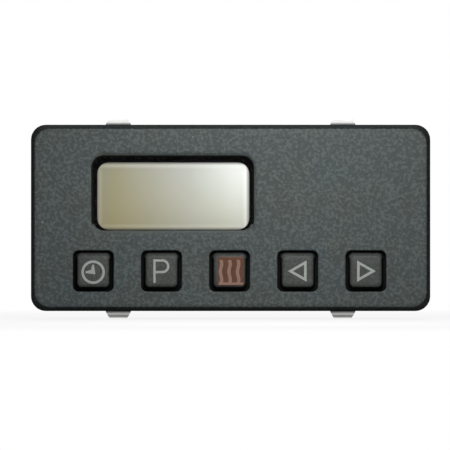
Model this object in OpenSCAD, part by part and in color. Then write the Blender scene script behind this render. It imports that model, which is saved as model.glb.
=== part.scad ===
// Panel timer: a display and five keys in a face plate that clips into a
// rectangular cut-out. Millimetres. X runs to the right and Z up as a user
// sees the face, and Y runs back into the panel. The origin is the centre of
// the cut-out, in the plane of the plate's rear face.

/* [Face plate] */
// Width of the face plate
face_w = 75; // [74:0.5:78]
// Height of the face plate
face_h = 35; // [34.6:0.2:37]
// Depth from the front of the plate to the face that meets the panel
face_depth = 7; // [7:0.1:8]
// Thickness of the front wall
front_wall = 2; // [1.8:0.1:2.2]
// Corner radius of the plate, seen from the front
face_corner = 2.8; // [1.6:0.1:3.2]
// How far the plate's sides slope in towards its front
face_slope = 0.6; // [0.3:0.1:0.8]

/* [Display] */
// Width of the window at the front
window_w = 30.5; // [29:0.1:31]
// Height of the window at the front
window_h = 14.4; // [13.4:0.1:14.8]
// Width of the display that shows
view_w = 28.5; // [27:0.1:28.8]
// Height of the display that shows
view_h = 12.6; // [12:0.1:12.8]
// Sideways place of the window's middle
window_x = -10.85; // [-11:0.05:-10.7]
// Upward place of the window's middle
window_z = 4.5; // [4.4:0.05:4.6]
// How far the window's sides slope in towards its rear
window_slope = 0.35; // [0.2:0.05:0.5]

/* [Keys] */
// Spacing of the five keys
key_pitch = 12.75; // [12.6:0.05:12.8]
// Upward place of the row of keys
key_z = -9.95; // [-10.2:0.05:-9.9]
// Width of a key's opening
key_hole_w = 7.6; // [7.4:0.1:7.8]
// Height of a key's opening
key_hole_h = 7.7; // [7.4:0.1:7.8]
// Width of a key's flat top
key_top_w = 5.7; // [5.4:0.1:6]
// Height of a key's flat top
key_top_h = 5.8; // [5.4:0.1:6]
// How far a key stands out of the plate
key_proud = 0.7; // [0.4:0.1:1]
// How far a key is pressed
key_travel = 0.8; // [0.5:0.1:0.8]

/* [Housing] */
// Width of the housing behind the panel
body_w = 70; // [70:0.1:70.4]
// Height of the housing behind the panel
body_h = 31; // [31:0.1:31.4]
// Depth of the housing behind the panel
body_depth = 18; // [18:0.5:20]
// Wall thickness of the housing
wall = 1.5; // [1.4:0.1:1.5]

/* [Spring clips] */
// Sideways distance of the clips from the middle
clip_x = 21.2; // [20.8:0.1:21.2]
// How far the noses of the relaxed clips reach from the middle
clip_reach = 18.9; // [18.2:0.1:19]
// Width of a clip where it meets the panel
clip_w = 4.8; // [4.8:0.1:5.4]
// Width of a clip's nose and of its leaf
clip_nose_w = 3.4; // [3.2:0.1:4]
// Thickness of the spring sheet
clip_t = 0.4; // [0.3:0.05:0.4]

/* [Connector] */
// Pins in each of the connector's two rows
pin_columns = 6; // [4:1:6]
// Spacing of the pins
pin_pitch = 2.54; // [2.5:0.02:2.54]
// How far the connector's mouth stands out of the housing
socket_proud = 2; // [1.5:0.1:4]
// Sideways place of the connector
header_x = 18; // [17.8:0.1:18.4]

/* [Hidden] */

// Cuts pass a face by this much
cut = 0.05;
// Clearance between pieces that fit together
fit = 0.1;
round_fn = 48;

// The row of keys, from the left, and the sideways place of its middle
CLOCK = 0;
PROGRAMME = 1;
HEAT = 2;
BACK = 3;
FORWARD = 4;
key_count = 5;
key_row_x = -0.2;

// Depths from front to back
front_y = -face_depth;
slope_end_y = -2;
wall_y = front_y + front_wall;
lens_t = 0.6;
mask_y = wall_y + lens_t;
mask_t = 0.15;
lcd_y = mask_y + mask_t + 0.1;
polariser_t = 0.2;
glass_t = 0.7;
front_glass_y = lcd_y + polariser_t;
rear_glass_y = front_glass_y + glass_t;
rear_polariser_y = rear_glass_y + glass_t;
guide_y = rear_polariser_y + polariser_t + cut;
guide_t = 2.2;
reflector_t = 0.15;
stack_depth = 5.6;
board_y = wall_y + stack_depth;
board_t = 1.6;
board_back = board_y + board_t;

// Face plate and the hollow behind its front wall
plate_hollow = [body_w + 2 * fit, body_h + 2 * fit];
housing_lap = 2.2;
housing_corner = 1.5;
hollow_corner = housing_corner + 0.1;
rear_edge = 0.6;
window_corner = 2.3;
view_corner = 2.2;
key_hole_corner = 1.1;
view_z = window_z - 0.4;

// Display stack
lens_size = [32.4, 16];
lens_z = window_z - 0.2;
lens_corner = 1;
glass_w = 33.5;
rear_glass_size = [glass_w, 14.8];
rear_glass_z = 4.5;
contact_ledge = 2.1;
polariser_size = [30.5, 14];
guide_size = [31.3, 13.4];
guide_z = 4.1;
carrier_size = [36.9, 19];
carrier_z = 3.9;
elastomer_size = [28, 1.8];
ledge_z = rear_glass_z - rear_glass_size.y / 2 - contact_ledge / 2;
side_led_size = [1.5, 2.2, 3];
side_led_x = window_x + guide_size.x / 2 + 0.25;
side_led_pitch = 3.6;

// Keys, measured back from the rear of the front wall
key_base_w = 6.6;
key_base_h = 7.1;
key_flange = 8.2;
key_flange_t = 0.8;
key_play = 0.1;
key_stem_r = 1.7;
legend_depth = 0.25;
legend_stroke = 0.45;
heat_lens_depth = 0.4;
heat_lens_size = [4.9, 5.4];
heat_lens_x = 0.25;
pill_r = 1.5;
pill_t = 0.4;
pill_gap = 0.02;
boss_base = key_travel + pill_gap + pill_t;
mat_t = 1;
dome_h = 2.2;
dome_r = 2.95;
dome_wall = 0.3;
mat_size = [63, 7.8];
mat_z = -9.8;
led_window_r = 0.9;

// Screws that hold the board to the plate's bosses
boss_r = 1.9;
screw_r = 0.8;
screw_head_r = 1.9;
screw_head_h = 1.3;
screw_clear_r = 1.05;
screw_point_y = wall_y + 1.2;
screw_hole_end_y = wall_y + 0.4;
side_boss_x = 31.4;
side_boss_z = 5;
lower_boss_z = -7.7;
boss_places = [
    [-side_boss_x, side_boss_z],
    [side_boss_x, side_boss_z],
    [-1.5 * key_pitch, lower_boss_z],
    [1.5 * key_pitch, lower_boss_z]
];

// Snap hooks that hold the housing to the plate
hook_z = 9.5;
hook_w = 4.4;
hook_inner_x = 32.2;
hook_outer_x = 33.3;
hook_barb_x = 34.5;
hook_catch_y = 2.7;
hook_tip_y = 4.3;

// Board
board_size = [66.2, 26.8];

// Spring clips, in the plane of Y and of the height above the middle
pivot = [15, 13.2];
pivot_r = 0.8;
pivot_play = 0.06;
hook_path_r = pivot_r + pivot_play + clip_t / 2;
nose_r = 0.9;
nose_rise = 0.06;
nose_corner = [6, clip_reach + nose_rise];
catch_corner = [2.95, 15.2];
catch_r = 0.5;
clip_end = [3.9, 14.5];
taper_start_y = 4.9;
taper_end_y = 5.9;
pocket_w = 5.4;
pocket_front = 2.35;
pocket_back = 16.6;
pocket_floor = 10.6;
pocket_wall = 0.7;

// Connector
header_size = [21, 10];
socket_size = [18.8, 7.8];
socket_floor = 8.5;
socket_mouth = body_depth + socket_proud;
pin_w = 0.64;
pin_tip = 14.5;
pin_tail = board_y - 0.8;
pin_hole_w = 0.72;
pin_board_r = 0.55;
peg_r = 0.7;
peg_x = 9.2;
socket_rib_x = [-5.5, 6.5];
socket_rib_w = 1;
socket_rib_h = 0.7;
latch_w = 4.4;

// ---------------------------------------------------------------- helpers

function key_x(i) = key_row_x + (i - (key_count - 1) / 2) * key_pitch;

// Outline of a rectangle with round corners, as points in X and Z
function pane(size, r, at = [0, 0], steps = 6) = [
    for (corner = [[1, 1, 0], [-1, 1, 90], [-1, -1, 180], [1, -1, 270]])
    for (s = [0 : steps])
    let (a = corner[2] + 90 * s / steps)
    [
        at.x + corner[0] * (size.x / 2 - r) + r * cos(a),
        at.y + corner[1] * (size.y / 2 - r) + r * sin(a)
    ]
];

// A shape drawn in X and Z, made solid between two depths
module slab(y0, y1) {
    translate([0, y1, 0])
    rotate([90, 0, 0])
    linear_extrude(y1 - y0)
    children();
}

// A round rod along Y between two depths
module rod(y0, y1, r, at) {
    translate([at.x, y1, at.y])
    rotate([90, 0, 0])
    cylinder(h = y1 - y0, r = r, $fn = round_fn);
}

// A box between two opposite corners
module block(low, high) {
    translate(low)
    cube(high - low);
}

// A solid that changes from one outline at y0 to another at y1
module loft(y0, front, y1, back) {
    n = len(front);
    polyhedron(
        points = concat(
            [for (p = front) [p.x, y0, p.y]],
            [for (p = back) [p.x, y1, p.y]]
        ),
        faces = concat(
            [[for (i = [n - 1 : -1 : 0]) i]],
            [[for (i = [0 : n - 1]) n + i]],
            [for (i = [0 : n - 1]) [i, (i + 1) % n, n + (i + 1) % n, n + i]]
        ),
        convexity = 2
    );
}

// Repeats its children at both signs of X and of Z
module at_four_corners() {
    for (side = [0, 1])
    for (half = [0, 1])
    mirror([side, 0, 0])
    mirror([0, 0, half])
    children();
}

// ------------------------------------------------------------- face plate

module front_bezel() {
    outline = [face_w, face_h];
    front = [face_w - 2 * face_slope, face_h - 2 * face_slope];
    color([0.31, 0.33, 0.33])
    difference() {
        union() {
            difference() {
                union() {
                    slab(slope_end_y, 0)
                    polygon(pane(outline, face_corner));
                    loft(
                        front_y,
                        pane(front, face_corner),
                        slope_end_y,
                        pane(outline, face_corner)
                    );
                }
                slab(wall_y, cut)
                polygon(pane(plate_hollow, hollow_corner));
            }
            for (at = boss_places)
            rod(wall_y - cut, board_y, boss_r, at);
            at_four_corners()
            snap_hook();
        }
        display_window();
        for (i = [0 : key_count - 1])
        slab(front_y - cut, wall_y + cut)
        polygon(pane([key_hole_w, key_hole_h], key_hole_corner, [key_x(i), key_z]));
        for (at = boss_places)
        rod(screw_hole_end_y, board_y + cut, screw_r, at);
    }
}

module display_window() {
    slope = 2 * window_slope;
    middle = [window_x, window_z];
    loft(
        front_y - cut,
        pane([window_w, window_h], window_corner, middle),
        wall_y + cut,
        pane([window_w - slope, window_h - slope], window_corner, middle)
    );
}

module snap_hook() {
    translate([0, 0, hook_z - hook_w / 2])
    linear_extrude(hook_w)
    polygon([
        [hook_inner_x, wall_y - cut],
        [hook_outer_x, wall_y - cut],
        [hook_outer_x, hook_catch_y],
        [hook_barb_x, hook_catch_y],
        [hook_outer_x, hook_tip_y],
        [hook_inner_x, hook_tip_y]
    ]);
}

// ---------------------------------------------------------------- display

module display_lens() {
    color([0.9, 0.92, 0.92, 0.4])
    slab(wall_y, wall_y + lens_t)
    polygon(pane(lens_size, lens_corner, [window_x, lens_z]));
}

// Black frame behind the lens, open where the display shows
module display_mask() {
    color([0.03, 0.03, 0.03])
    difference() {
        slab(mask_y, mask_y + mask_t)
        polygon(pane(lens_size, lens_corner, [window_x, lens_z]));
        slab(mask_y - cut, mask_y + mask_t + cut)
        polygon(pane([view_w, view_h], view_corner, [window_x, view_z]));
    }
}

module polariser(y, tint) {
    color(tint)
    slab(y, y + polariser_t)
    polygon(pane(polariser_size, 0.3, [window_x, view_z]));
}

module front_polariser() polariser(lcd_y, [0.75, 0.74, 0.66, 0.6]);

module rear_polariser() polariser(rear_polariser_y, [0.72, 0.7, 0.6]);

module front_glass() {
    drop = contact_ledge / 2;
    color([0.75, 0.82, 0.8, 0.5])
    slab(front_glass_y, rear_glass_y)
    polygon(pane(
        rear_glass_size + [0, contact_ledge], 0.2, [window_x, rear_glass_z - drop]
    ));
}

module rear_glass() {
    color([0.75, 0.82, 0.8, 0.5])
    slab(rear_glass_y, rear_polariser_y)
    polygon(pane(rear_glass_size, 0.2, [window_x, rear_glass_z]));
}

// Frame that holds the lens, the glass, the light guide and the contacts
module display_carrier() {
    play = [2 * fit, 2 * fit];
    glass_size = rear_glass_size + play + [0, contact_ledge];
    glass_mid = [window_x, rear_glass_z - contact_ledge / 2];
    led_x = side_led_x - 4 * fit;
    led_z = side_led_pitch + side_led_size.z / 2 + fit;
    color([0.86, 0.86, 0.83])
    difference() {
        slab(wall_y, board_y)
        polygon(pane(carrier_size, 0.6, [window_x, carrier_z]));
        slab(wall_y - cut, lcd_y)
        polygon(pane(lens_size + play, lens_corner, [window_x, lens_z]));
        slab(lcd_y - cut, rear_polariser_y + polariser_t)
        polygon(pane(glass_size, 0.2, glass_mid));
        slab(rear_polariser_y, board_y + cut)
        polygon(pane(guide_size + play, 0.3, [window_x, guide_z]));
        slab(rear_glass_y, board_y + cut)
        polygon(pane(elastomer_size + play / 2, 0.1, [window_x, ledge_z]));
        block(
            [led_x, guide_y, guide_z - led_z],
            [side_led_x + side_led_size.x + fit, board_y + cut, guide_z + led_z]
        );
    }
}

module backlight_guide() {
    color([0.94, 0.95, 0.93, 0.7])
    slab(guide_y, guide_y + guide_t)
    polygon(pane(guide_size, 0.2, [window_x, guide_z]));
}

module backlight_reflector() {
    top = guide_y + guide_t;
    color([0.96, 0.96, 0.96])
    slab(top, top + reflector_t)
    polygon(pane(guide_size - [0.4, 0.4], 0.2, [window_x, guide_z]));
}

module backlight_leds() {
    color([0.95, 0.93, 0.8])
    for (n = [-1 : 1])
    translate([
        side_led_x,
        board_y - side_led_size.y,
        guide_z + n * side_led_pitch - side_led_size.z / 2
    ])
    cube(side_led_size);
}

module elastomer_connector() {
    color([0.2, 0.2, 0.22])
    slab(rear_glass_y, board_y)
    polygon(pane(elastomer_size, 0.1, [window_x, ledge_z]));
}

// ------------------------------------------------------------------- keys

// Silicone mat with a dome under each key
module keypad_mat() {
    color([0.45, 0.46, 0.45])
    difference() {
        union() {
            slab(board_y - mat_t, board_y)
            polygon(pane(mat_size, 0.8, [key_row_x, mat_z]));
            for (i = [0 : key_count - 1])
            dome_turning(i, [
                [0, mat_t - cut],
                [dome_r, mat_t - cut],
                [dome_r, mat_t],
                [key_stem_r, dome_h - 0.45],
                [key_stem_r, dome_h],
                [0, dome_h]
            ]);
        }
        for (i = [0 : key_count - 1])
        dome_turning(i, [
            [0, -cut],
            [dome_r - dome_wall, -cut],
            [dome_r - dome_wall, mat_t - 0.25],
            [pill_r + 0.12, boss_base],
            [0, boss_base]
        ]);
        for (at = boss_places)
        rod(board_y - mat_t - cut, board_y + cut, boss_r + 2 * fit, at);
        rod(board_y - mat_t - cut, board_y + cut, led_window_r, heat_led_place());
    }
}

// Turns a profile of radius and height above the board round a key's axis
module dome_turning(i, profile) {
    translate([key_x(i), board_y, key_z])
    rotate([90, 0, 0])
    rotate_extrude($fn = round_fn)
    polygon(profile);
}

module key_cap(i) {
    flange_y = wall_y + key_play;
    stem_end = board_y - dome_h - key_play / 2;
    color([0.3, 0.3, 0.29])
    difference() {
        union() {
            loft(
                front_y - key_proud,
                pane([key_top_w, key_top_h], 0.8, [key_x(i), key_z]),
                flange_y,
                pane([key_base_w, key_base_h], 1, [key_x(i), key_z])
            );
            slab(flange_y, flange_y + key_flange_t)
            polygon(pane([key_flange, key_flange], 0.8, [key_x(i), key_z]));
            rod(flange_y, stem_end, key_stem_r, [key_x(i), key_z]);
        }
        if (i == HEAT)
        heat_lens_field(cut);
        else
        key_symbol(i, cut);
    }
}

// The symbol let into the top of a key
module key_symbol(i, lift) {
    top = front_y - key_proud;
    translate([key_x(i), 0, key_z])
    slab(top - lift, top + legend_depth) {
        if (i == CLOCK) clock_symbol();
        if (i == PROGRAMME) letter_p();
        if (i == HEAT) heat_symbol();
        if (i == BACK) arrow_symbol(-1);
        if (i == FORWARD) arrow_symbol(1);
    }
}

module key_legend(i) {
    color(i == HEAT ? [0.62, 0.47, 0.4] : [0.62, 0.63, 0.6])
    key_symbol(i, 0);
}

module heat_lens_field(lift) {
    top = front_y - key_proud;
    at = [key_x(HEAT) + heat_lens_x, key_z];
    slab(top - lift, top + heat_lens_depth)
    polygon(pane(heat_lens_size, 0.4, at));
}

module heat_key_lens() {
    color([0.38, 0.2, 0.16])
    difference() {
        heat_lens_field(0);
        key_symbol(HEAT, cut);
    }
}

module key_pill(i) {
    front = board_y - boss_base;
    color([0.12, 0.12, 0.12])
    rod(front, front + pill_t, pill_r, [key_x(i), key_z]);
}

// A ring with one hand up and one to the left, both wider at the hub
module clock_symbol() {
    r = 2.2;
    drop = 0.2;
    reach = 1.4;
    tip = 0.14;
    hub = 0.3;
    translate([0, -drop]) {
        difference() {
            circle(r, $fn = round_fn);
            circle(r - legend_stroke, $fn = round_fn);
        }
        polygon([
            [tip, reach], [-tip, reach], [-hub, hub],
            [-reach, tip], [-reach, -tip], [hub, -hub]
        ]);
    }
}

module letter_p() {
    half_w = 1.5;
    half_h = 2.2;
    bowl_r = 1.3;
    difference() {
        p_bowl(-half_w, half_w, half_h, bowl_r);
        p_bowl(
            -half_w + legend_stroke,
            half_w - legend_stroke,
            half_h - legend_stroke,
            bowl_r - legend_stroke
        );
    }
    translate([-half_w, -half_h])
    square([legend_stroke, 2 * half_h - bowl_r]);
}

// A bar from left to right whose right end is a half circle
module p_bowl(left, right, top, r) {
    polygon(concat(
        [[left, top], [left, top - 2 * r]],
        [for (a = [-90 : 15 : 90]) [right - r + r * cos(a), top - r + r * sin(a)]]
    ));
}

// Three wavy strokes that stand on a bar
module heat_symbol() {
    pitch = 1.5;
    top_z = 2.1;
    base_z = -2.35;
    swing = 0.16;
    bar = [4.6, 0.44];
    for (n = [-1 : 1])
    translate([n * pitch, 0])
    polygon(wave_outline(base_z, top_z, swing, legend_stroke));
    translate([heat_lens_x, base_z])
    square(bar, center = true);
}

// An upright wavy stroke, up its right side and down its left
function wave_outline(z0, z1, swing, stroke, steps = 12) = concat(
    [for (s = [0 : steps]) wave_point(z0, z1, swing, s / steps, stroke / 2)],
    [for (s = [steps : -1 : 0]) wave_point(z0, z1, swing, s / steps, -stroke / 2)]
);

function wave_point(z0, z1, swing, t, side) = [
    swing * sin(540 * t) + side,
    z0 + (z1 - z0) * t
];

// An outlined triangle that points to the side given by its sign
module arrow_symbol(way) {
    half_w = 1.75;
    half_h = 2;
    lead = 0.1;
    slant = norm([2 * half_w, half_h]);
    inset_tip = legend_stroke * slant / half_h;
    inner_base = way * (-half_w + legend_stroke);
    inner_tip = way * (half_w - inset_tip);
    inner_h = half_h * (2 * half_w - inset_tip - legend_stroke) / (2 * half_w);
    translate([way * lead, 0])
    difference() {
        polygon([[-way * half_w, half_h], [way * half_w, 0], [-way * half_w, -half_h]]);
        polygon([[inner_base, inner_h], [inner_tip, 0], [inner_base, -inner_h]]);
    }
}

// ------------------------------------------------------------------ board

module circuit_board() {
    color([0.1, 0.3, 0.18])
    difference() {
        slab(board_y, board_back)
        polygon(pane(board_size, 0.8));
        at_four_corners()
        block(
            [hook_inner_x - 0.3, board_y - cut, hook_z - hook_w / 2 - 0.3],
            [board_size.x, board_back + cut, hook_z + hook_w / 2 + 0.3]
        );
        for (at = boss_places)
        rod(board_y - cut, board_back + cut, screw_clear_r, at);
        for (at = pin_places())
        rod(board_y - cut, board_back + cut, pin_board_r, at);
        for (side = [-1, 1])
        rod(board_y - cut, board_back + cut, peg_r + 0.05, [header_x + side * peg_x, 0]);
    }
}

module board_screws() {
    color([0.72, 0.72, 0.7])
    for (at = boss_places)
    difference() {
        union() {
            rod(board_back, board_back + screw_head_h, screw_head_r, at);
            rod(screw_point_y, board_back + cut, screw_r, at);
        }
        cross_slot(at);
    }
}

module cross_slot(at) {
    length = 2.2;
    width = 0.4;
    depth = 0.7;
    for (turn = [0, 90])
    translate([at.x, board_back + screw_head_h - depth, at.y])
    rotate([0, turn, 0])
    translate([-length / 2, 0, -width / 2])
    cube([length, depth + cut, width]);
}

// Puts a piece on the rear of the board, its own Y from the board's surface
module on_board(at) {
    translate([at.x, board_back, at.y])
    children();
}

// A box on the board, its size given across, out from the board, and up
module chip_box(size, lift = 0, at = [0, 0]) {
    translate([at.x - size.x / 2, lift, at.y - size.z / 2])
    cube(size);
}

module microcontroller() {
    body = [10, 1.4, 10];
    body_lift = 0.15;
    lead = [0.36, 0.7, 1.05];
    lead_pitch = 0.8;
    leads = 11;
    color([0.13, 0.13, 0.13])
    on_board([-17, 1.2])
    difference() {
        union() {
            chip_box(body, body_lift);
            for (side = [0 : 3])
            rotate([0, 90 * side, 0])
            for (n = [0 : leads - 1])
            chip_box(lead, 0, [
                (n - (leads - 1) / 2) * lead_pitch,
                body.z / 2 + lead.z / 2 - cut
            ]);
        }
        rod(body_lift + body.y - 0.1, body_lift + body.y + cut, 0.6, [-3.8, 3.8]);
    }
}

module clock_crystal() {
    base = [2.6, 0.5, 6.6];
    can = [2.2, 6];
    can_h = 3;
    color([0.75, 0.75, 0.73])
    on_board([-28.6, -1])
    union() {
        chip_box(base);
        slab(base.y - cut, can_h)
        polygon(pane(can, can.x / 2 - 0.1));
    }
}

module voltage_regulator() {
    body = [6.6, 2.3, 6];
    tab = [5.2, 0.5, 1.2];
    lead = [0.8, 0.5, 2.1];
    lead_x = 2.3;
    color([0.14, 0.14, 0.14])
    on_board([2, 3])
    union() {
        chip_box(body);
        chip_box(tab, 0, [0, body.z / 2 + tab.z / 2 - cut]);
        for (side = [-1, 1])
        chip_box(lead, 0, [side * lead_x, -body.z / 2 - lead.z / 2 + cut]);
    }
}

module smoothing_capacitors() {
    base = [6.6, 1, 6.6];
    can_r = 3.1;
    can_h = 7.7;
    color([0.78, 0.78, 0.76])
    for (z = [-3.4, 4.2])
    on_board([-6.4, z])
    union() {
        chip_box(base);
        rod(base.y - cut, can_h, can_r, [0, 0]);
    }
}

module output_transistors() {
    body = [3, 1, 1.4];
    body_lift = 0.1;
    lead = [0.5, 0.5, 0.7];
    lead_x = 0.95;
    lead_z = body.z / 2 + lead.z / 2 - cut;
    color([0.14, 0.14, 0.14])
    for (z = [-11, -7.6])
    on_board([28, z])
    union() {
        chip_box(body, body_lift);
        chip_box(lead, 0, [0, lead_z]);
        for (side = [-1, 1])
        chip_box(lead, 0, [side * lead_x, -lead_z]);
    }
}

module protection_diode() {
    body = [4.6, 2.2, 3.6];
    body_lift = 0.1;
    leads = [5.4, 0.8, 2];
    color([0.14, 0.14, 0.14])
    on_board([12, -9.2])
    union() {
        chip_box(body, body_lift);
        chip_box(leads);
    }
}

// Small chips of one size in a row on the rear of the board
module chip_row(first, count, pitch, size) {
    for (n = [0 : count - 1])
    on_board(first + [n * pitch, 0])
    chip_box(size);
}

module chip_resistors() {
    size = [1.25, 0.5, 2];
    pitch = 2.2;
    color([0.16, 0.17, 0.2])
    union() {
        chip_row([-13, -8], 6, pitch, size);
        chip_row([-13, 9.6], 5, pitch, size);
    }
}

module chip_capacitors() {
    size = [1.25, 0.9, 2];
    pitch = 2.4;
    color([0.62, 0.5, 0.36])
    union() {
        chip_row([0.6, -8], 4, pitch, size);
        chip_row([2, 9.6], 4, pitch, size);
    }
}

function heat_led_place() = [key_x(HEAT) + 4.6, key_z + 1.6];

// On the front of the board, in a hole in the key mat
module heat_led() {
    size = [0.8, 0.6, 1.2];
    at = heat_led_place();
    color([0.75, 0.25, 0.18])
    translate([at.x - size.x / 2, board_y - size.y, at.y - size.z / 2])
    cube(size);
}

// -------------------------------------------------------------- connector

function pin_places() = [
    for (row = [-0.5, 0.5])
    for (n = [0 : pin_columns - 1])
    [header_x + (n - (pin_columns - 1) / 2) * pin_pitch, row * pin_pitch]
];

module connector_header() {
    color([0.13, 0.13, 0.13])
    difference() {
        union() {
            difference() {
                slab(board_back, socket_mouth)
                polygon(pane(header_size, 0.8, [header_x, 0]));
                slab(socket_floor, socket_mouth + cut)
                polygon(pane(socket_size, 0.4, [header_x, 0]));
            }
            for (side = [-1, 1])
            rod(board_y, board_back + cut, peg_r, [header_x + side * peg_x, 0]);
            for (x = socket_rib_x)
            socket_rib(header_x + x);
        }
        for (at = pin_places())
        slab(board_back - cut, socket_floor + cut)
        translate(at)
        square(pin_hole_w, center = true);
        latch_slot();
    }
}

// Two ribs in the socket's floor let the plug in one way round only
module socket_rib(x) {
    wall_z = -socket_size.y / 2;
    block(
        [x - socket_rib_w / 2, socket_floor - cut, wall_z - cut],
        [x + socket_rib_w / 2, socket_mouth - 1, wall_z + socket_rib_h]
    );
}

module latch_slot() {
    block(
        [header_x - latch_w / 2, socket_mouth - 1.6, socket_size.y / 2 - cut],
        [header_x + latch_w / 2, socket_mouth - 0.6, header_size.y]
    );
}

module connector_pins() {
    color([0.8, 0.74, 0.55])
    for (at = pin_places())
    slab(pin_tail, pin_tip)
    translate(at)
    square(pin_w, center = true);
}

// ---------------------------------------------------------------- housing

module rear_housing() {
    inner = [body_w - 2 * wall, body_h - 2 * wall];
    color([0.12, 0.12, 0.12])
    difference() {
        union() {
            difference() {
                housing_block();
                slab(-housing_lap - cut, body_depth - wall)
                polygon(pane(inner, 0.6));
            }
            at_four_corners()
            clip_pocket_walls();
        }
        at_four_corners()
        clip_pocket();
        at_four_corners()
        block(
            [hook_outer_x - 0.3, hook_catch_y - 0.2, hook_z - hook_w / 2 - 0.4],
            [body_w, hook_tip_y + 0.3, hook_z + hook_w / 2 + 0.4]
        );
        slab(body_depth - wall - cut, body_depth + cut)
        polygon(pane(header_size + [0.3, 0.3], 0.9, [header_x, 0]));
    }
    at_four_corners()
    clip_pivot_bar();
}

module housing_block() {
    outline = [body_w, body_h];
    rear = [body_w - 2 * rear_edge, body_h - 2 * rear_edge];
    slab(-housing_lap, body_depth - rear_edge)
    polygon(pane(outline, housing_corner));
    loft(
        body_depth - rear_edge,
        pane(outline, housing_corner),
        body_depth,
        pane(rear, housing_corner - rear_edge / 2)
    );
}

module clip_pocket_walls() {
    half = pocket_w / 2 + pocket_wall;
    block(
        [clip_x - half, pocket_front, pocket_floor - pocket_wall],
        [clip_x + half, pocket_back + pocket_wall, body_h / 2 - wall + cut]
    );
}

module clip_pocket() {
    block(
        [clip_x - pocket_w / 2, pocket_front - cut, pocket_floor],
        [clip_x + pocket_w / 2, pocket_back, body_h]
    );
}

// The clip hooks round this bar, which crosses the pocket
module clip_pivot_bar() {
    translate([clip_x - pocket_w / 2 - cut, pivot.x, pivot.y])
    rotate([0, 90, 0])
    cylinder(h = pocket_w + 2 * cut, r = pivot_r, $fn = round_fn);
}

// ----------------------------------------------------------- spring clips

// Direction from one point to another, as an angle
function heading(from, to) = atan2(to.y - from.y, to.x - from.x);

function along(from, angle, distance) =
    from + distance * [cos(angle), sin(angle)];

// Points of the arc that rounds the corner b between a and c
function rounded_corner(a, b, c, r, steps = 8) =
    let (
        in_way = heading(b, a),
        out_way = heading(b, c),
        turn = (((out_way - in_way) % 360) + 540) % 360 - 180,
        mid_way = in_way + turn / 2,
        centre = along(b, mid_way, r / sin(abs(turn) / 2)),
        sweep = sign(turn) * (180 - abs(turn)),
        start = mid_way + 180 + sweep / 2
    )
    [for (s = [0 : steps]) along(centre, start - sweep * s / steps, r)];

// Closed outline of a strip of sheet that follows a path at its middle
function strip_outline(path, t) = concat(
    [for (i = [0 : len(path) - 1]) along(path[i], path_way(path, i) + 90, t / 2)],
    [for (i = [len(path) - 1 : -1 : 0]) along(path[i], path_way(path, i) - 90, t / 2)]
);

function path_way(path, i) =
    heading(path[max(i - 1, 0)], path[min(i + 1, len(path) - 1)]);

function clip_path() =
    let (
        reach = norm(nose_corner - pivot),
        leaf_way = heading(pivot, nose_corner),
        touch = leaf_way - acos(hook_path_r / reach),
        hook_steps = 20,
        hook_wrap = 240
    )
    concat(
        [
            for (s = [0 : hook_steps])
            along(pivot, touch - hook_wrap * (1 - s / hook_steps), hook_path_r)
        ],
        rounded_corner(
            along(pivot, touch, hook_path_r), nose_corner, catch_corner, nose_r
        ),
        rounded_corner(nose_corner, catch_corner, clip_end, catch_r),
        [clip_end]
    );

// A clip at the top on the right, its width trimmed to the plan of the sheet
module spring_clip() {
    color([0.7, 0.69, 0.66])
    intersection() {
        translate([clip_x - clip_w / 2, 0, 0])
        rotate([90, 0, 90])
        linear_extrude(clip_w)
        polygon(strip_outline(clip_path(), clip_t));
        linear_extrude(clip_reach + 2)
        clip_plan();
    }
}

module clip_plan() {
    back = pivot.x + 3;
    polygon([
        [clip_x - clip_w / 2, 0],
        [clip_x + clip_w / 2, 0],
        [clip_x + clip_w / 2, taper_start_y],
        [clip_x + clip_nose_w / 2, taper_end_y],
        [clip_x + clip_nose_w / 2, back],
        [clip_x - clip_nose_w / 2, back],
        [clip_x - clip_nose_w / 2, taper_end_y],
        [clip_x - clip_w / 2, taper_start_y]
    ]);
}

module spring_clip_at(left, bottom) {
    mirror([left, 0, 0])
    mirror([0, 0, bottom])
    spring_clip();
}

// ------------------------------------------------------------------ nodes

front_bezel();
display_lens();
display_mask();
front_polariser();
front_glass();
rear_glass();
rear_polariser();
display_carrier();
backlight_guide();
backlight_reflector();
backlight_leds();
elastomer_connector();
keypad_mat();
key_cap(CLOCK);  // clock_key_cap
key_legend(CLOCK);  // clock_key_legend
key_pill(CLOCK);  // clock_key_pill
key_cap(PROGRAMME);  // programme_key_cap
key_legend(PROGRAMME);  // programme_key_legend
key_pill(PROGRAMME);  // programme_key_pill
key_cap(HEAT);  // heat_key_cap
heat_key_lens();
key_legend(HEAT);  // heat_key_legend
key_pill(HEAT);  // heat_key_pill
key_cap(BACK);  // back_key_cap
key_legend(BACK);  // back_key_legend
key_pill(BACK);  // back_key_pill
key_cap(FORWARD);  // forward_key_cap
key_legend(FORWARD);  // forward_key_legend
key_pill(FORWARD);  // forward_key_pill
circuit_board();
board_screws();
microcontroller();
clock_crystal();
voltage_regulator();
smoothing_capacitors();
output_transistors();
protection_diode();
chip_resistors();
chip_capacitors();
heat_led();
connector_header();
connector_pins();
rear_housing();
spring_clip_at(1, 0);  // spring_clip_top_left
spring_clip_at(0, 0);  // spring_clip_top_right
spring_clip_at(1, 1);  // spring_clip_bottom_left
spring_clip_at(0, 1);  // spring_clip_bottom_right
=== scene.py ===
"""The look of a panel timer: face plate, display, five keys, spring clips, housing and board.

Meshes are drawn in millimetres in the frame's own axes, X to the right, Y to the rear and Z up,
and are scaled to metres when they become pieces.
"""

import logging
import math
from abc import ABC, abstractmethod
from collections.abc import Callable, Sequence
from dataclasses import dataclass, field
from enum import Enum, IntEnum
from typing import Any

import bmesh
import bpy
from mathutils import Matrix, Vector
from mathutils.geometry import tessellate_polygon


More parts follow.
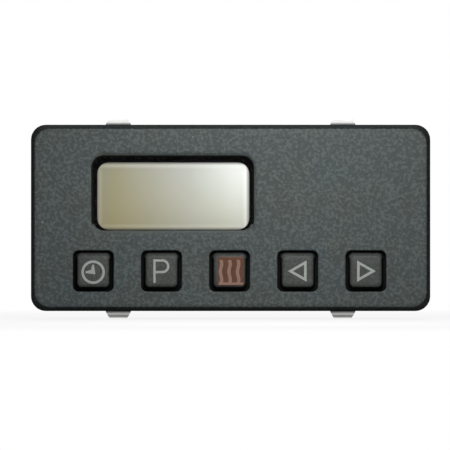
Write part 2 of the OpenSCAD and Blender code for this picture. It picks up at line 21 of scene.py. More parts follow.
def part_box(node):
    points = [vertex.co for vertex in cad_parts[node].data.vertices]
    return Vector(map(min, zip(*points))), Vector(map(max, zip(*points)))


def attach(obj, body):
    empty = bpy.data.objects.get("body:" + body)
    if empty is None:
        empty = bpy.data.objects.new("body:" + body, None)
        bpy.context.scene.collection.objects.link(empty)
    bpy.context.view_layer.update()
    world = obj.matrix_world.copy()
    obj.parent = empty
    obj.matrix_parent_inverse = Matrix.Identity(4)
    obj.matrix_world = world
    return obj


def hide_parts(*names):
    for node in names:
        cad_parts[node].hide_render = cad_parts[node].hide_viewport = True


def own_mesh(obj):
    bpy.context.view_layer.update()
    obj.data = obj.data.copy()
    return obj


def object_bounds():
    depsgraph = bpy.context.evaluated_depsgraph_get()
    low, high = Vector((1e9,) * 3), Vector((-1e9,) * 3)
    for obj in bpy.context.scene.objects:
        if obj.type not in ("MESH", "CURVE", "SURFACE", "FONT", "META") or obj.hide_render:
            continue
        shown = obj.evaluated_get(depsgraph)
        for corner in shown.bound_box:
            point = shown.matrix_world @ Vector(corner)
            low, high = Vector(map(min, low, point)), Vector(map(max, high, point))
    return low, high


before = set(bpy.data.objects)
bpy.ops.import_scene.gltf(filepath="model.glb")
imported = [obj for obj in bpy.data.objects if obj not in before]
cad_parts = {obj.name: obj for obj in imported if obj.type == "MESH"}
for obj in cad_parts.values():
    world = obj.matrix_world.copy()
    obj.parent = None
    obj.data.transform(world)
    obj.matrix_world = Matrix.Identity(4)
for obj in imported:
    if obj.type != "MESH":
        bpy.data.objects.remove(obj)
CAD_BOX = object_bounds()

MM = 0.001
CASE = "case"
WHITE = (1.0, 1.0, 1.0)
ENDS = (-1, 1)
QUARTERS = tuple((side, half) for side in ENDS for half in ENDS)

Point = tuple[float, float]
Place = tuple[float, float, float]
Colour = tuple[float, float, float]
Ring = list[bmesh.types.BMVert]
Layer = tuple[Sequence[Point], float]
Quarter = tuple[int, int]

log = logging.getLogger("panel_timer")


# ------------------------------------------------------------------ outlines


def arc(centre: Point, radius: float, start: float, end: float, steps: int) -> list[Point]:
    """Points along an arc, both ends included.

    Args:
        centre: Centre of the arc.
        radius: Radius.
        start: Angle of the first point, in degrees.
        end: Angle of the last point, in degrees.
        steps: Number of chords.

    Returns:
        The points in order.
    """
    angles = (math.radians(start + (end - start) * s / steps) for s in range(steps + 1))
    return [(centre[0] + radius * math.cos(a), centre[1] + radius * math.sin(a)) for a in angles]


def disc(radius: float, centre: Point = (0, 0), count: int = 48) -> list[Point]:
    """Outline of a circle with the given number of points."""
    return arc(centre, radius, 0, 360 * (1 - 1 / count), count - 1)


def pane(size: Point, radius: float, centre: Point = (0, 0), steps: int = 8) -> list[Point]:
    """Outline of a rectangle with round corners.

    Args:
        size: Width and height.
        radius: Corner radius.
        centre: Middle of the rectangle.
        steps: Chords in each corner.

    Returns:
        The points in order, from the upper right corner.
    """
    half_x, half_z = size[0] / 2 - radius, size[1] / 2 - radius
    points: list[Point] = []
    for turn, (side, rise) in enumerate(((1, 1), (-1, 1), (-1, -1), (1, -1))):
        corner = (centre[0] + side * half_x, centre[1] + rise * half_z)
        points += arc(corner, radius, 90 * turn, 90 * turn + 90, steps)
    return points


def box_outline(low: Point, high: Point) -> list[Point]:
    """Outline of a plain rectangle between two opposite corners."""
    return [low, (high[0], low[1]), high, (low[0], high[1])]


# -------------------------------------------------------------------- meshes


def add_object(name: str, data: bpy.types.ID) -> bpy.types.Object:
    """Makes an object and links it to the scene.

    Args:
        name: Name of the object.
        data: Its mesh, lamp or camera.

    Returns:
        The object.
    """
    made = bpy.data.objects.new(name, data)
    bpy.context.scene.collection.objects.link(made)
    return made


class Blank:
    """A mesh in the making, in millimetres."""

    def __init__(self) -> None:
        """Starts with nothing in the mesh."""
        self.mesh = bmesh.new()

    def loop(self, points: Sequence[Place]) -> Ring:
        """Sets a closed line of points anywhere."""
        return [self.mesh.verts.new(p) for p in points]

    def ring(self, outline: Sequence[Point], depth: float) -> Ring:
        """Sets an outline at one depth."""
        return self.loop([(x, depth, z) for x, z in outline])

    def band(self, first: Ring, second: Ring, part: int = 0) -> None:
        """Joins two rings that have as many points.

        Args:
            first: One ring.
            second: The other ring.
            part: Number of the finish on the new faces.
        """
        for i, vert in enumerate(first):
            j = (i + 1) % len(first)
            face = self.mesh.faces.new((vert, first[j], second[j], second[i]))
            face.material_index = part

    def plate(self, outer: Ring, holes: Sequence[Ring] = (), part: int = 0) -> None:
        """Fills the flat space within a ring and round any holes in it.

        Args:
            outer: Ring round the outside.
            holes: Rings left open.
            part: Number of the finish on the new faces.
        """
        loops = [outer, *holes]
        verts = [vert for line in loops for vert in line]
        for corners in tessellate_polygon([[vert.co for vert in line] for line in loops]):
            face = self.mesh.faces.new([verts[c] for c in corners])
            face.material_index = part

    def stack(self, layers: Sequence[Layer], parts: Sequence[int] = ()) -> tuple[Ring, Ring]:
        """Joins a pile of outlines into one wall.

        Args:
            layers: Outlines with their depths, in order.
            parts: Finish of each band, or nothing for the first finish all over.

        Returns:
            The first and the last ring.
        """
        rings = [self.ring(outline, depth) for outline, depth in layers]
        for i, (first, second) in enumerate(zip(rings, rings[1:])):
            self.band(first, second, parts[i] if parts else 0)
        return rings[0], rings[-1]

    def solid(self, layers: Sequence[Layer]) -> None:
        """Adds a pile of outlines that is closed flat at both ends."""
        for ring in self.stack(layers):
            self.plate(ring)

    def slab(
        self,
        outer: Sequence[Point],
        front: float,
        rear: float,
        holes: Sequence[Sequence[Point]] = (),
        part: int = 0,
    ) -> None:
        """Adds a flat solid with straight sides.

        Args:
            outer: Its outline.
            front: Depth of its front face.
            rear: Depth of its rear face.
            holes: Outlines of the holes through it.
            part: Number of the finish on its faces.
        """
        faces = []
        for depth in (front, rear):
            rings = [self.ring(outline, depth) for outline in (outer, *holes)]
            self.plate(rings[0], rings[1:], part)
            faces.append(rings)
        for first, second in zip(*faces):
            self.band(first, second, part)

    def turned(self, profile: Sequence[Point], centre: Point, count: int = 32, tube: bool = False) -> None:
        """Adds a round solid about a line along Y.

        Args:
            profile: Radius and depth of each step, in order.
            centre: X and Z of the axis.
            count: Points round the axis.
            tube: Joins the last step to the first, where the ends would else be closed flat.
        """
        rings = [self.ring(disc(radius, centre, count), depth) for radius, depth in profile]
        for first, second in zip(rings, rings[1:]):
            self.band(first, second)
        if tube:
            self.band(rings[-1], rings[0])
        else:
            self.plate(rings[0])
            self.plate(rings[-1])

    def brick(self, low: Place, high: Place) -> None:
        """Adds a box between two opposite corners."""
        self.slab(box_outline((low[0], low[2]), (high[0], high[2])), low[1], high[1])

    def between(self, first: Sequence[Place], second: Sequence[Place]) -> None:
        """Adds the solid between two closed lines that have as many points.

        Args:
            first: Corners of one end.
            second: Corners of the other end.
        """
        rings = [self.loop(first), self.loop(second)]
        self.band(*rings)
        for ring in rings:
            self.plate(ring)

    def piece(self, name: str, *finishes: "Finish") -> bpy.types.Object:
        """Turns the mesh into an object that wears these finishes, by their numbers."""
        return self.cast(name, [finish.material() for finish in finishes])

    def cast(self, name: str, materials: Sequence[bpy.types.Material]) -> bpy.types.Object:
        """Turns the mesh into an object, still in millimetres.

        Args:
            name: Name of the object.
            materials: Materials in the order of the finish numbers.

        Returns:
            The object, linked to the scene.
        """
        bmesh.ops.recalc_face_normals(self.mesh, faces=self.mesh.faces)
        data = bpy.data.meshes.new(name)
        self.mesh.to_mesh(data)
        self.mesh.free()
        for material in materials:
            data.materials.append(material)
        return add_object(name, data)


CUT_REACH = 1.0


class Cut(Enum):
    """What a second solid does to the first."""

    TAKE_AWAY = "DIFFERENCE"
    ADD = "UNION"


def carve(piece: bpy.types.Object, tool: Blank, how: Cut = Cut.TAKE_AWAY) -> None:
    """Cuts one solid with another, or adds it, and drops the tool.

    Args:
        piece: Solid that changes.
        tool: Solid that cuts it or joins it.
        how: Cut or join.
    """
    other = tool.cast(piece.name + "_tool", piece.data.materials)
    modifier = piece.modifiers.new("cut", "BOOLEAN")
    modifier.operation = how.value
    modifier.object = other
    modifier.solver = "EXACT"
    graph = bpy.context.evaluated_depsgraph_get()
    old = piece.data
    piece.data = bpy.data.meshes.new_from_object(piece.evaluated_get(graph))
    piece.modifiers.clear()
    bpy.data.meshes.remove(old)
    bpy.data.objects.remove(other)


def settle(
    piece: bpy.types.Object,
    body: str,
    nodes: Sequence[str] = (),
    edge: float = 0.0,
    sharp: float = 32.0,
) -> bpy.types.Object:
    """Scales a piece to metres, shades it, and lets it ride on its body.

    Args:
        piece: The piece, drawn in millimetres.
        body: Body that it rides on.
        nodes: CAD nodes that it stands for.
        edge: Width of the bevel on its hard edges, in millimetres.
        sharp: Angle past which an edge stays hard, in degrees.

    Returns:
        The same piece.
    """
    piece.data.transform(Matrix.Scale(MM, 4))
    piece.data.shade_smooth()
    piece.data.set_sharp_from_angle(angle=math.radians(sharp))
    if edge:
        bevelled(piece, edge, sharp).miter_outer = "MITER_ARC"
    piece.modifiers.new("normals", "WEIGHTED_NORMAL").keep_sharp = True
    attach(piece, body)
    if nodes:
        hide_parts(*nodes)
    log.info("%s: %d faces on %s", piece.name, len(piece.data.polygons), body)
    return piece


def bevelled(piece: bpy.types.Object, edge: float, sharp: float) -> bpy.types.Modifier:
    """Adds a bevel of two steps.

    Args:
        piece: The piece, in metres.
        edge: Width of the bevel, in millimetres.
        sharp: Angle past which an edge is bevelled, in degrees.

    Returns:
        The modifier.
    """
    bevel = piece.modifiers.new("edge", "BEVEL")
    bevel.width = edge * MM
    bevel.segments = 2
    bevel.limit_method = "ANGLE"
    bevel.angle_limit = math.radians(sharp)
    return bevel


class NodeBox:
    """The box round a CAD node, in millimetres."""

    def __init__(self, node: str) -> None:
        """Reads the box from the frame.

        Args:
            node: Name of the CAD node.
        """
        low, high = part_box(node)
        self.low: Place = tuple(low / MM)
        self.high: Place = tuple(high / MM)
        x, _, z = (low + high) / 2 / MM
        self.centre: Point = (x, z)
        self.size: Point = (self.high[0] - self.low[0], self.high[2] - self.low[2])
        self.front: float = self.low[1]
        self.rear: float = self.high[1]

    def outline(self, corner: float, inset: float = 0.0) -> list[Point]:
        """The box as seen from the front, with round corners and smaller all round by an inset."""
        width, height = self.size
        return pane((width - 2 * inset, height - 2 * inset), corner, self.centre)


# ------------------------------------------------------------------- shaders


NOISE_REACH = (0.3, 0.7)


class Graph:
    """Adds nodes to one node tree."""

    def __init__(self, tree: bpy.types.NodeTree) -> None:
        """Takes the tree to build in."""
        self.tree = tree

    def node(self, kind: str, inputs: dict[Any, Any] | None = None, **settings: Any) -> bpy.types.Node:
        """Adds a node, sets it, and fills its inputs.

        Args:
            kind: The node's type without the ShaderNode prefix.
            inputs: A value or an output socket for each input, by name or number.
            settings: The node's own properties.

        Returns:
            The node.
        """
        made = self.tree.nodes.new("ShaderNode" + kind)
        for key, value in settings.items():
            setattr(made, key, value)
        self.fill(made, inputs or {})
        return made

    def fill(self, node: bpy.types.Node, inputs: dict[Any, Any]) -> None:
        """Feeds some of a node's inputs, by name or number."""
        for key, value in inputs.items():
            self.feed(node.inputs[key], value)

    def feed(self, socket: bpy.types.NodeSocket, value: Any) -> None:
        """Links an output to an input, or sets the input's value.

        Args:
            socket: The input.
            value: The output, or a plain value.
        """
        if isinstance(value, bpy.types.NodeSocket):
            self.tree.links.new(value, socket)
        elif socket.type == "RGBA":
            socket.default_value = (*value, 1.0)
        else:
            socket.default_value = value

    def math(self, operation: str, *values: Any) -> bpy.types.NodeSocket:
        """Adds a Math node with these values and gives its output."""
        return self.node("Math", dict(enumerate(values)), operation=operation).outputs[0]

    def scaled(self, vector: Any, by: Any) -> bpy.types.NodeSocket:
        """Scales a vector or a colour by one number."""
        return self.node("VectorMath", {0: vector, "Scale": by}, operation="SCALE").outputs[0]

    def fitted(self, value: Any, low: float, high: float, first: Any = 0.0, last: Any = 1.0) -> Any:
        """Maps a value from one range to another, smoothly and within the ends.

        Args:
            value: The output to map.
            low: Value that becomes the first one.
            high: Value that becomes the last one.
            first: Result at the low end.
            last: Result at the high end.

        Returns:
            The mapped output.
        """
        inputs = {"Value": value, "From Min": low, "From Max": high, "To Min": first, "To Max": last}
        return self.node("MapRange", inputs, interpolation_type="SMOOTHSTEP").outputs[0]

    def blend(self, share: Any, first: Any, second: Any, how: str = "MIX") -> bpy.types.NodeSocket:
        """Mixes two colours.

        Args:
            share: Share of the second colour.
            first: First colour, or an output.
            second: Second colour, or an output.
            how: Blend type.

        Returns:
            The colour output.
        """
        inputs = {0: share, 6: first, 7: second}
        return self.node("Mix", inputs, data_type="RGBA", blend_type=how).outputs[2]

    def noise(self, vector: Any, detail: float = 2.0, roughness: float = 0.5) -> bpy.types.NodeSocket:
        """Adds plain noise at a scale of one and gives its value."""
        inputs = {"Vector": vector, "Scale": 1.0, "Detail": detail, "Roughness": roughness}
        return self.node("TexNoise", inputs).outputs[0]

    def ramp(self, share: Any, stops: Sequence[tuple[float, Colour]]) -> bpy.types.NodeSocket:
        """Adds a colour ramp.

        Args:
            share: Place along the ramp, from nought to one.
            stops: Places along it with their colours.

        Returns:
            The colour output.
        """
        made = self.node("ValToRGB", {0: share})
        band = made.color_ramp.elements
        while len(band) < len(stops):
            band.new(0.5)
        for element, (at, colour) in zip(band, stops):
            element.position = at
            element.color = (*colour, 1.0)
        return made.outputs[0]

    def position(self) -> bpy.types.NodeSocket:
        """Place on the piece, in millimetres, which moves with it."""
        return self.scaled(self.node("TexCoord").outputs["Object"], 1 / MM)

    def axes(self, vector: Any) -> Any:
        """The X, Y and Z of a vector, as three outputs."""
        return self.node("SeparateXYZ", {0: vector}).outputs

    def counted(self, vector: Any, size: Any) -> bpy.types.NodeSocket:
        """A place counted in steps of a size."""
        return self.scaled(vector, self.math("DIVIDE", 1.0, size))

    def seen(self) -> bpy.types.NodeSocket:
        """Tells the rays that are looked along from those that only light.

        Returns:
            One for a ray from the eye, a mirror or glass, and nought for any other.
        """
        path = self.node("LightPath").outputs
        direct = self.math("MAXIMUM", path["Is Camera Ray"], path["Is Glossy Ray"])
        return self.math("MAXIMUM", direct, path["Is Transmission Ray"])


class Effect(Enum):
    """Node groups that several finishes share."""

    GRAIN = "moulded_grain"
    DRIFT = "tone_drift"
    DUST = "fine_dust"
    STREAKS = "drawn_streaks"

    def tree(self) -> bpy.types.NodeTree:
        """The group's tree, built when it is first asked for."""
        found = bpy.data.node_groups.get(self.value)
        return found or EFFECT_BUILDERS[self]()

    def place(self, graph: Graph, inputs: dict[str, Any]) -> bpy.types.Node:
        """Puts the group in a material, with a value or an output for each of its inputs."""
        return graph.node("Group", inputs, node_tree=self.tree())


def new_effect(effect: Effect, inputs: dict[str, str], outputs: dict[str, str]) -> tuple[Graph, Any, Any]:
    """Starts a node group.

    Args:
        effect: Which group it is.
        inputs: Kind of socket for each input.
        outputs: Kind of socket for each output.

    Returns:
        The graph, the group's input sockets and its output sockets.
    """
    tree = bpy.data.node_groups.new(effect.value, "ShaderNodeTree")
    for ends, direction in ((inputs, "INPUT"), (outputs, "OUTPUT")):
        for name, kind in ends.items():
            tree.interface.new_socket(name, in_out=direction, socket_type="NodeSocket" + kind)
    given = tree.nodes.new("NodeGroupInput").outputs
    wanted = tree.nodes.new("NodeGroupOutput").inputs
    return Graph(tree), given, wanted


def build_grain() -> bpy.types.NodeTree:
    """Builds spark-eroded grain: blunt cells broken up by fine noise.

    Returns:
        The group's tree.
    """
    inputs = {"Position": "Vector", "Size": "Float"}
    graph, given, wanted = new_effect(Effect.GRAIN, inputs, {"Height": "Float", "Mask": "Float"})
    place = graph.counted(given["Position"], given["Size"])
    inputs = {"Vector": place, "Scale": 0.8, "Smoothness": 0.7}
    cells = graph.node("TexVoronoi", inputs, feature="SMOOTH_F1").outputs["Distance"]
    fine = graph.noise(graph.scaled(place, 1.3), 3.0, 0.6)
    parts = (graph.math("MULTIPLY", cells, -0.5), graph.math("MULTIPLY", fine, 1.2))
    graph.feed(wanted["Height"], graph.math("ADD", *parts))
    graph.feed(wanted["Mask"], graph.fitted(fine, 0.36, 0.66))
    return graph.tree


def build_drift() -> bpy.types.NodeTree:
    """Builds a slow drift of a colour towards a warm and a cool one.

    Returns:
        The group's tree.
    """
    tones = dict.fromkeys(("Base", "Warm", "Cool"), "Color")
    inputs = {"Position": "Vector", "Patch": "Float", **tones}
    graph, given, wanted = new_effect(Effect.DRIFT, inputs, {"Color": "Color"})
    place = graph.counted(given["Position"], given["Patch"])
    apart = graph.node("VectorMath", {0: place, 1: (7.3, 2.1, 5.9)}, operation="ADD").outputs[0]
    warm = graph.fitted(graph.noise(place), 0.42, 0.68)
    cool = graph.fitted(graph.noise(apart), 0.42, 0.68)
    colour = graph.blend(warm, given["Base"], given["Warm"])
    graph.feed(wanted["Color"], graph.blend(cool, colour, given["Cool"]))
    return graph.tree


def build_dust() -> bpy.types.NodeTree:
    """Builds small light specks, scattered thinly.

    Returns:
        The group's tree.
    """
    inputs = {"Position": "Vector", "Spacing": "Float", "Size": "Float"}
    graph, given, wanted = new_effect(Effect.DUST, inputs, {"Mask": "Float"})
    place = graph.counted(given["Position"], given["Spacing"])
    cells = graph.node("TexVoronoi", {"Vector": place, "Scale": 1.0})
    chance = graph.node("SeparateColor", {0: cells.outputs["Color"]}).outputs[0]
    reach = graph.math("MULTIPLY", given["Size"], chance)
    away = graph.math("MULTIPLY", cells.outputs["Distance"], given["Spacing"])
    speck = graph.math("LESS_THAN", away, reach)
    graph.feed(wanted["Mask"], graph.math("MULTIPLY", speck, graph.math("GREATER_THAN", chance, 0.35)))
    return graph.tree


def build_streaks() -> bpy.types.NodeTree:
    """Builds fine lines that run along one axis, as on drawn sheet.

    Returns:
        The group's tree.
    """
    inputs = {"Position": "Vector", "Stretch": "Vector"}
    graph, given, wanted = new_effect(Effect.STREAKS, inputs, {"Height": "Float", "Mask": "Float"})
    place = graph.node("VectorMath", {0: given["Position"], 1: given["Stretch"]}, operation="MULTIPLY")
    lines = graph.noise(place.outputs[0], 4.0, 0.65)
    graph.feed(wanted["Height"], lines)
    graph.feed(wanted["Mask"], graph.fitted(lines, 0.35, 0.65))
    return graph.tree


EFFECT_BUILDERS: dict[Effect, Callable[[], bpy.types.NodeTree]] = {
    Effect.GRAIN: build_grain,
    Effect.DRIFT: build_drift,
    Effect.DUST: build_dust,
    Effect.STREAKS: build_streaks,
}


# ------------------------------------------------------------------ finishes


@dataclass(frozen=True)
class Finish(ABC):
    """A finish that one or more pieces wear."""

    name: str

    def material(self) -> bpy.types.Material:
        """Builds the finish when it is first asked for.

        Returns:
            The finish as a material.
        """
        found = bpy.data.materials.get("finish_" + self.name)
        if found:
            return found
        made = bpy.data.materials.new("finish_" + self.name)
        made.use_nodes = True
        tree = made.node_tree
        self.dress(Graph(tree), tree.nodes["Principled BSDF"])
        return made

    @abstractmethod
    def dress(self, graph: Graph, shader: bpy.types.Node) -> None:
        """Feeds the shader.

        Args:
            graph: The material's graph.
            shader: Its Principled shader.
        """


def bump(graph: Graph, shader: bpy.types.Node, height: Any, depth: float) -> None:
    """Raises the surface by a height in millimetres.

    Args:
        graph: The material's graph.
        shader: Shader whose normal changes.
        height: The height output.
        depth: Millimetres for a height of one.
    """
    made = graph.node("Bump", {"Height": height, "Strength": 1.0, "Distance": depth * MM})
    graph.feed(shader.inputs["Normal"], made.outputs[0])


def roughen(graph: Graph, shader: bpy.types.Node, mask: Any, ends: Point) -> None:
    """Feeds a roughness that runs from one end to the other as a mask rises."""
    graph.feed(shader.inputs["Roughness"], graph.fitted(mask, 0.0, 1.0, *ends))


def grained(
    graph: Graph, shader: bpy.types.Node, place: Any, size: float, ends: Point, depth: float = 0.0
) -> bpy.types.Node:
    """Gives a surface its grain, in roughness and, where it has a depth, in height.

    Args:
        graph: The material's graph.
        shader: Its shader.
        place: Place on the piece, in millimetres.
        size: Size of the grain's cells.
        ends: Roughness of the hollows and of the peaks.
        depth: Millimetres for a height of one.

    Returns:
        The grain's node.
    """
    grain = Effect.GRAIN.place(graph, {"Position": place, "Size": size})
    roughen(graph, shader, grain.outputs["Mask"], ends)
    if depth:
        bump(graph, shader, grain.outputs["Height"], depth)
    return grain


@dataclass(frozen=True)
class Moulded(Finish):
    """Moulded plastic, rubber or ceramic, with grain, drifting tone and specks."""

    base: Colour
    warm: Colour
    cool: Colour
    patch: float = 6.0
    grain: float = 0.3
    depth: float = 0.01
    speckle: float = 0.12
    roughness: float = 0.5
    specular: float = 0.3
    dust: float = 0.0
    dust_tone: Colour = (0.2, 0.21, 0.21)
    dust_spacing: float = 5.0
    roughness_spread: float = 0.06
    peak_power: float = 1.4
    dark_share: float = 0.9
    light_share: float = 1.2

    def dress(self, graph: Graph, shader: bpy.types.Node) -> None:
        """Feeds colour, roughness and normal from the shared effects.

        Args:
            graph: The material's graph.
            shader: Its Principled shader.
        """
        place = graph.position()
        ends = (self.roughness - self.roughness_spread, min(self.roughness + self.roughness_spread, 1.0))
        grain = grained(graph, shader, place, self.grain, ends, self.depth)
        tones = {"Base": self.base, "Warm": self.warm, "Cool": self.cool}
        drift = Effect.DRIFT.place(graph, {"Position": place, "Patch": self.patch, **tones})
        peaks = graph.math("POWER", grain.outputs["Mask"], self.peak_power)
        dark, light = 1 - self.dark_share * self.speckle, 1 + self.light_share * self.speckle
        colour = graph.scaled(drift.outputs["Color"], graph.fitted(peaks, 0.0, 1.0, dark, light))
        if self.dust:
            scatter = {"Position": place, "Spacing": self.dust_spacing, "Size": self.dust}
            specks = Effect.DUST.place(graph, scatter)
            colour = graph.blend(specks.outputs["Mask"], colour, self.dust_tone)
        graph.fill(shader, {"Base Color": colour, "Specular IOR Level": self.specular})


@dataclass(frozen=True)
class Print(Finish):
    """A printed or moulded-in symbol, a little uneven in its cover."""

    ink: Colour
    under: Colour
    cover: float = 0.8
    spots: float = 1.6
    grain: float = 0.2
    depth: float = 0.004
    roughness: Point = (0.45, 0.6)
    specular: float = 0.2

    def dress(self, graph: Graph, shader: bpy.types.Node) -> None:
        """Feeds ink that thins out in fine spots.

        Args:
            graph: The material's graph.
            shader: Its Principled shader.
        """
        place = graph.position()
        spots = graph.noise(graph.scaled(place, self.spots), 3.0, 0.6)
        thin = graph.fitted(spots, *NOISE_REACH, 0.0, 1 - self.cover)
        colour = graph.blend(thin, self.ink, self.under)
        graph.fill(shader, {"Base Color": colour, "Specular IOR Level": self.specular})
        grained(graph, shader, place, self.grain, self.roughness, self.depth)


@dataclass(frozen=True)
class ClearCover(Finish):
    """A clear cover that shows only in the light that it reflects."""

    index: float = 1.07
    tone: Colour = (0.95, 0.96, 0.96)
    grain: float = 2.5
    roughness: Point = (0.04, 0.07)

    def dress(self, graph: Graph, shader: bpy.types.Node) -> None:
        """Feeds a mirror whose cover grows with the slant of the view.

        Args:
            graph: The material's graph.
            shader: Its Principled shader.
        """
        grained(graph, shader, graph.position(), self.grain, self.roughness)
        shine = graph.node("Fresnel", {"IOR": self.index}).outputs[0]
        graph.fill(shader, {"Base Color": self.tone, "Metallic": 1.0, "Alpha": shine})


@dataclass(frozen=True)
class DisplayFilm(Finish):
    """A resting liquid crystal display, khaki to one side and silver to the other: the khaki is its own
    tint, while the silver side and the paler upper half are painted reflection.
    """

    centre: Point
    size: Point
    upper: tuple[tuple[float, Colour], ...]
    lower: tuple[tuple[float, Colour], ...]
    # Colour of a painted highlight near the edges, with its widths and its strength at the right and top,
    # then at the left and bottom.
    rim: Colour = (0.98, 0.98, 0.96)
    highlight_widths: Point = (0.5, 1.4)
    highlight_shares: Point = (0.22, 0.1)
    # Width and depth of a painted shadow along the edges, as if cast by the frame.
    shadow_width: float = 0.6
    border_shade: float = 0.55
    mottle: Point = (0.995, 1.005)
    roughness: Point = (0.815, 0.825)

    def dress(self, graph: Graph, shader: bpy.types.Node) -> None:
        """Feeds the two ramps, mixed from bottom to top, a painted pale highlight near the edges and a
        painted shadow along them.

        Args:
            graph: The material's graph.
            shader: Its Principled shader.
        """
        place = graph.position()
        axes = graph.axes(place)
        across = graph.math("DIVIDE", graph.math("SUBTRACT", axes[0], self.centre[0]), self.size[0])
        up = graph.math("DIVIDE", graph.math("SUBTRACT", axes[2], self.centre[1]), self.size[1])
        share = graph.math("ADD", across, 0.5)
        rise = graph.math("ADD", up, 0.5)
        # The ramps give the khaki tint, with painted reflection in the silver right side and the paler top.
        tone = graph.blend(rise, graph.ramp(share, self.lower), graph.ramp(share, self.upper))
        mottle = graph.fitted(graph.noise(graph.scaled(place, 0.3), 3.0), *NOISE_REACH, *self.mottle)
        tone = graph.scaled(tone, mottle)
        gaps = []
        for side in (1, -1):
            pair = [
                graph.math("MULTIPLY", graph.math("SUBTRACT", 0.5, graph.math("MULTIPLY", way, side)), size)
                for way, size in ((across, self.size[0]), (up, self.size[1]))
            ]
            gaps.append(graph.math("MINIMUM", *pair))
        # Painted highlight near the edges, stronger at the right and the top.
        highlights = [
            graph.fitted(gap, *self.highlight_widths, strength, 0.0)
            for gap, strength in zip(gaps, self.highlight_shares)
        ]
        highlighted = graph.blend(graph.math("MAXIMUM", *highlights), tone, self.rim)
        # Painted shadow along the edges, as if cast by the frame.
        shade = graph.fitted(graph.math("MINIMUM", *gaps), 0.0, self.shadow_width, self.border_shade, 1.0)
        colour = graph.scaled(highlighted, shade)
        rough = graph.fitted(mottle, *self.mottle, *self.roughness)
        graph.fill(shader, {"Base Color": colour, "Roughness": rough, "Metallic": 1.0})


@dataclass(frozen=True)
class Metal(Finish):
    """Sheet, wire or plated metal with fine drawn lines, and, where shades are given, painted light and
    shade in bands by height.
    """

    base: Colour
    dull: Colour
    stretch: Place = (0.4, 6.0, 6.0)
    roughness: float = 0.3
    depth: float = 0.003
    # Heights with brightness: bands of painted light and shade.
    shades: tuple[Point, ...] = ()
    smoother: float = 0.07
    rougher: float = 0.12
    soil: float = 0.7

    def shaded(self, graph: Graph, place: Any, tone: Any) -> Any:
        """Paints light and shade on a tone in bands by its height on the piece, standing for reflections
        and shadow.

        Args:
            graph: The material's graph.
            place: Place on the piece, in millimetres.
            tone: The colour output.

        Returns:
            The colour with its painted bands.
        """
        first, last = self.shades[0][0], self.shades[-1][0]
        share = graph.math("DIVIDE", graph.math("SUBTRACT", graph.axes(place)[2], first), last - first)
        stops = [((at - first) / (last - first), (level, level, level)) for at, level in self.shades]
        return graph.blend(1.0, tone, graph.ramp(share, stops), "MULTIPLY")

    def dress(self, graph: Graph, shader: bpy.types.Node) -> None:
        """Feeds streaked colour, with any painted bands of light and shade, and roughness.

        Args:
            graph: The material's graph.
            shader: Its Principled shader.
        """
        place = graph.position()
        lines = Effect.STREAKS.place(graph, {"Position": place, "Stretch": self.stretch})
        soil = graph.fitted(graph.noise(graph.scaled(place, self.soil), 3.0), 0.35, 0.7)
        share = graph.math("MULTIPLY", soil, lines.outputs["Mask"])
        tone = graph.blend(share, self.base, self.dull)
        # Painted reflections and shadow, in bands by height.
        if self.shades:
            tone = self.shaded(graph, place, tone)
        graph.fill(shader, {"Base Color": tone, "Metallic": 1.0})
        ends = (self.roughness - self.smoother, self.roughness + self.rougher)
        roughen(graph, shader, lines.outputs["Mask"], ends)
        bump(graph, shader, lines.outputs["Height"], self.depth)


@dataclass(frozen=True)
class Striped(Finish):
    """Layers of two rubbers, as in a strip that joins a display to its board."""

    first: Colour
    second: Colour
    pitch: float = 0.18
    grain: float = 0.15
    depth: float = 0.004
    roughness: Point = (0.6, 0.75)

    def dress(self, graph: Graph, shader: bpy.types.Node) -> None:
        """Feeds stripes across X.

        Args:
            graph: The material's graph.
            shader: Its Principled shader.
        """
        place = graph.position()
        phase = graph.math("FRACT", graph.math("DIVIDE", graph.axes(place)[0], self.pitch))
        stripe = graph.math("GREATER_THAN", phase, 0.5)
        graph.feed(shader.inputs["Base Color"], graph.blend(stripe, self.first, self.second))
        grained(graph, shader, place, self.grain, self.roughness, self.depth)


@dataclass(frozen=True)
class Laminate(Finish):
    """A circuit board: lacquer over copper tracks and bare laminate."""

    lacquer: Colour = (0.012, 0.075, 0.035)
    track: Colour = (0.03, 0.14, 0.06)
    pitch: float = 1.27
    half_track: float = 0.16
    bare_share: float = 0.47
    grain: float = 0.4
    grain_share: float = 0.2
    depth: float = 0.03
    roughness: Point = (0.28, 0.4)

    def dress(self, graph: Graph, shader: bpy.types.Node) -> None:
        """Feeds tracks that bend with noise, raised by a hair.

        Args:
            graph: The material's graph.
            shader: Its Principled shader.
        """
        place = graph.position()
        axes = graph.axes(place)
        sway = graph.noise(graph.scaled(place, 0.12), 0.0)
        turn = graph.math("GREATER_THAN", sway, 0.5)
        run = graph.node("Mix", {0: turn, 2: axes[0], 3: axes[2]}, data_type="FLOAT").outputs[0]
        phase = graph.math("FRACT", graph.math("DIVIDE", run, self.pitch))
        away = graph.math("ABSOLUTE", graph.math("SUBTRACT", phase, 0.5))
        line = graph.math("LESS_THAN", away, self.half_track)
        used = graph.math("GREATER_THAN", graph.noise(graph.scaled(place, 0.35), 1.0), self.bare_share)
        copper = graph.math("MULTIPLY", line, used)
        graph.feed(shader.inputs["Base Color"], graph.blend(copper, self.lacquer, self.track))
        grain = grained(graph, shader, place, self.grain, self.roughness)
        rough = graph.math("MULTIPLY", grain.outputs["Height"], self.grain_share)
        bump(graph, shader, graph.math("ADD", copper, rough), self.depth)


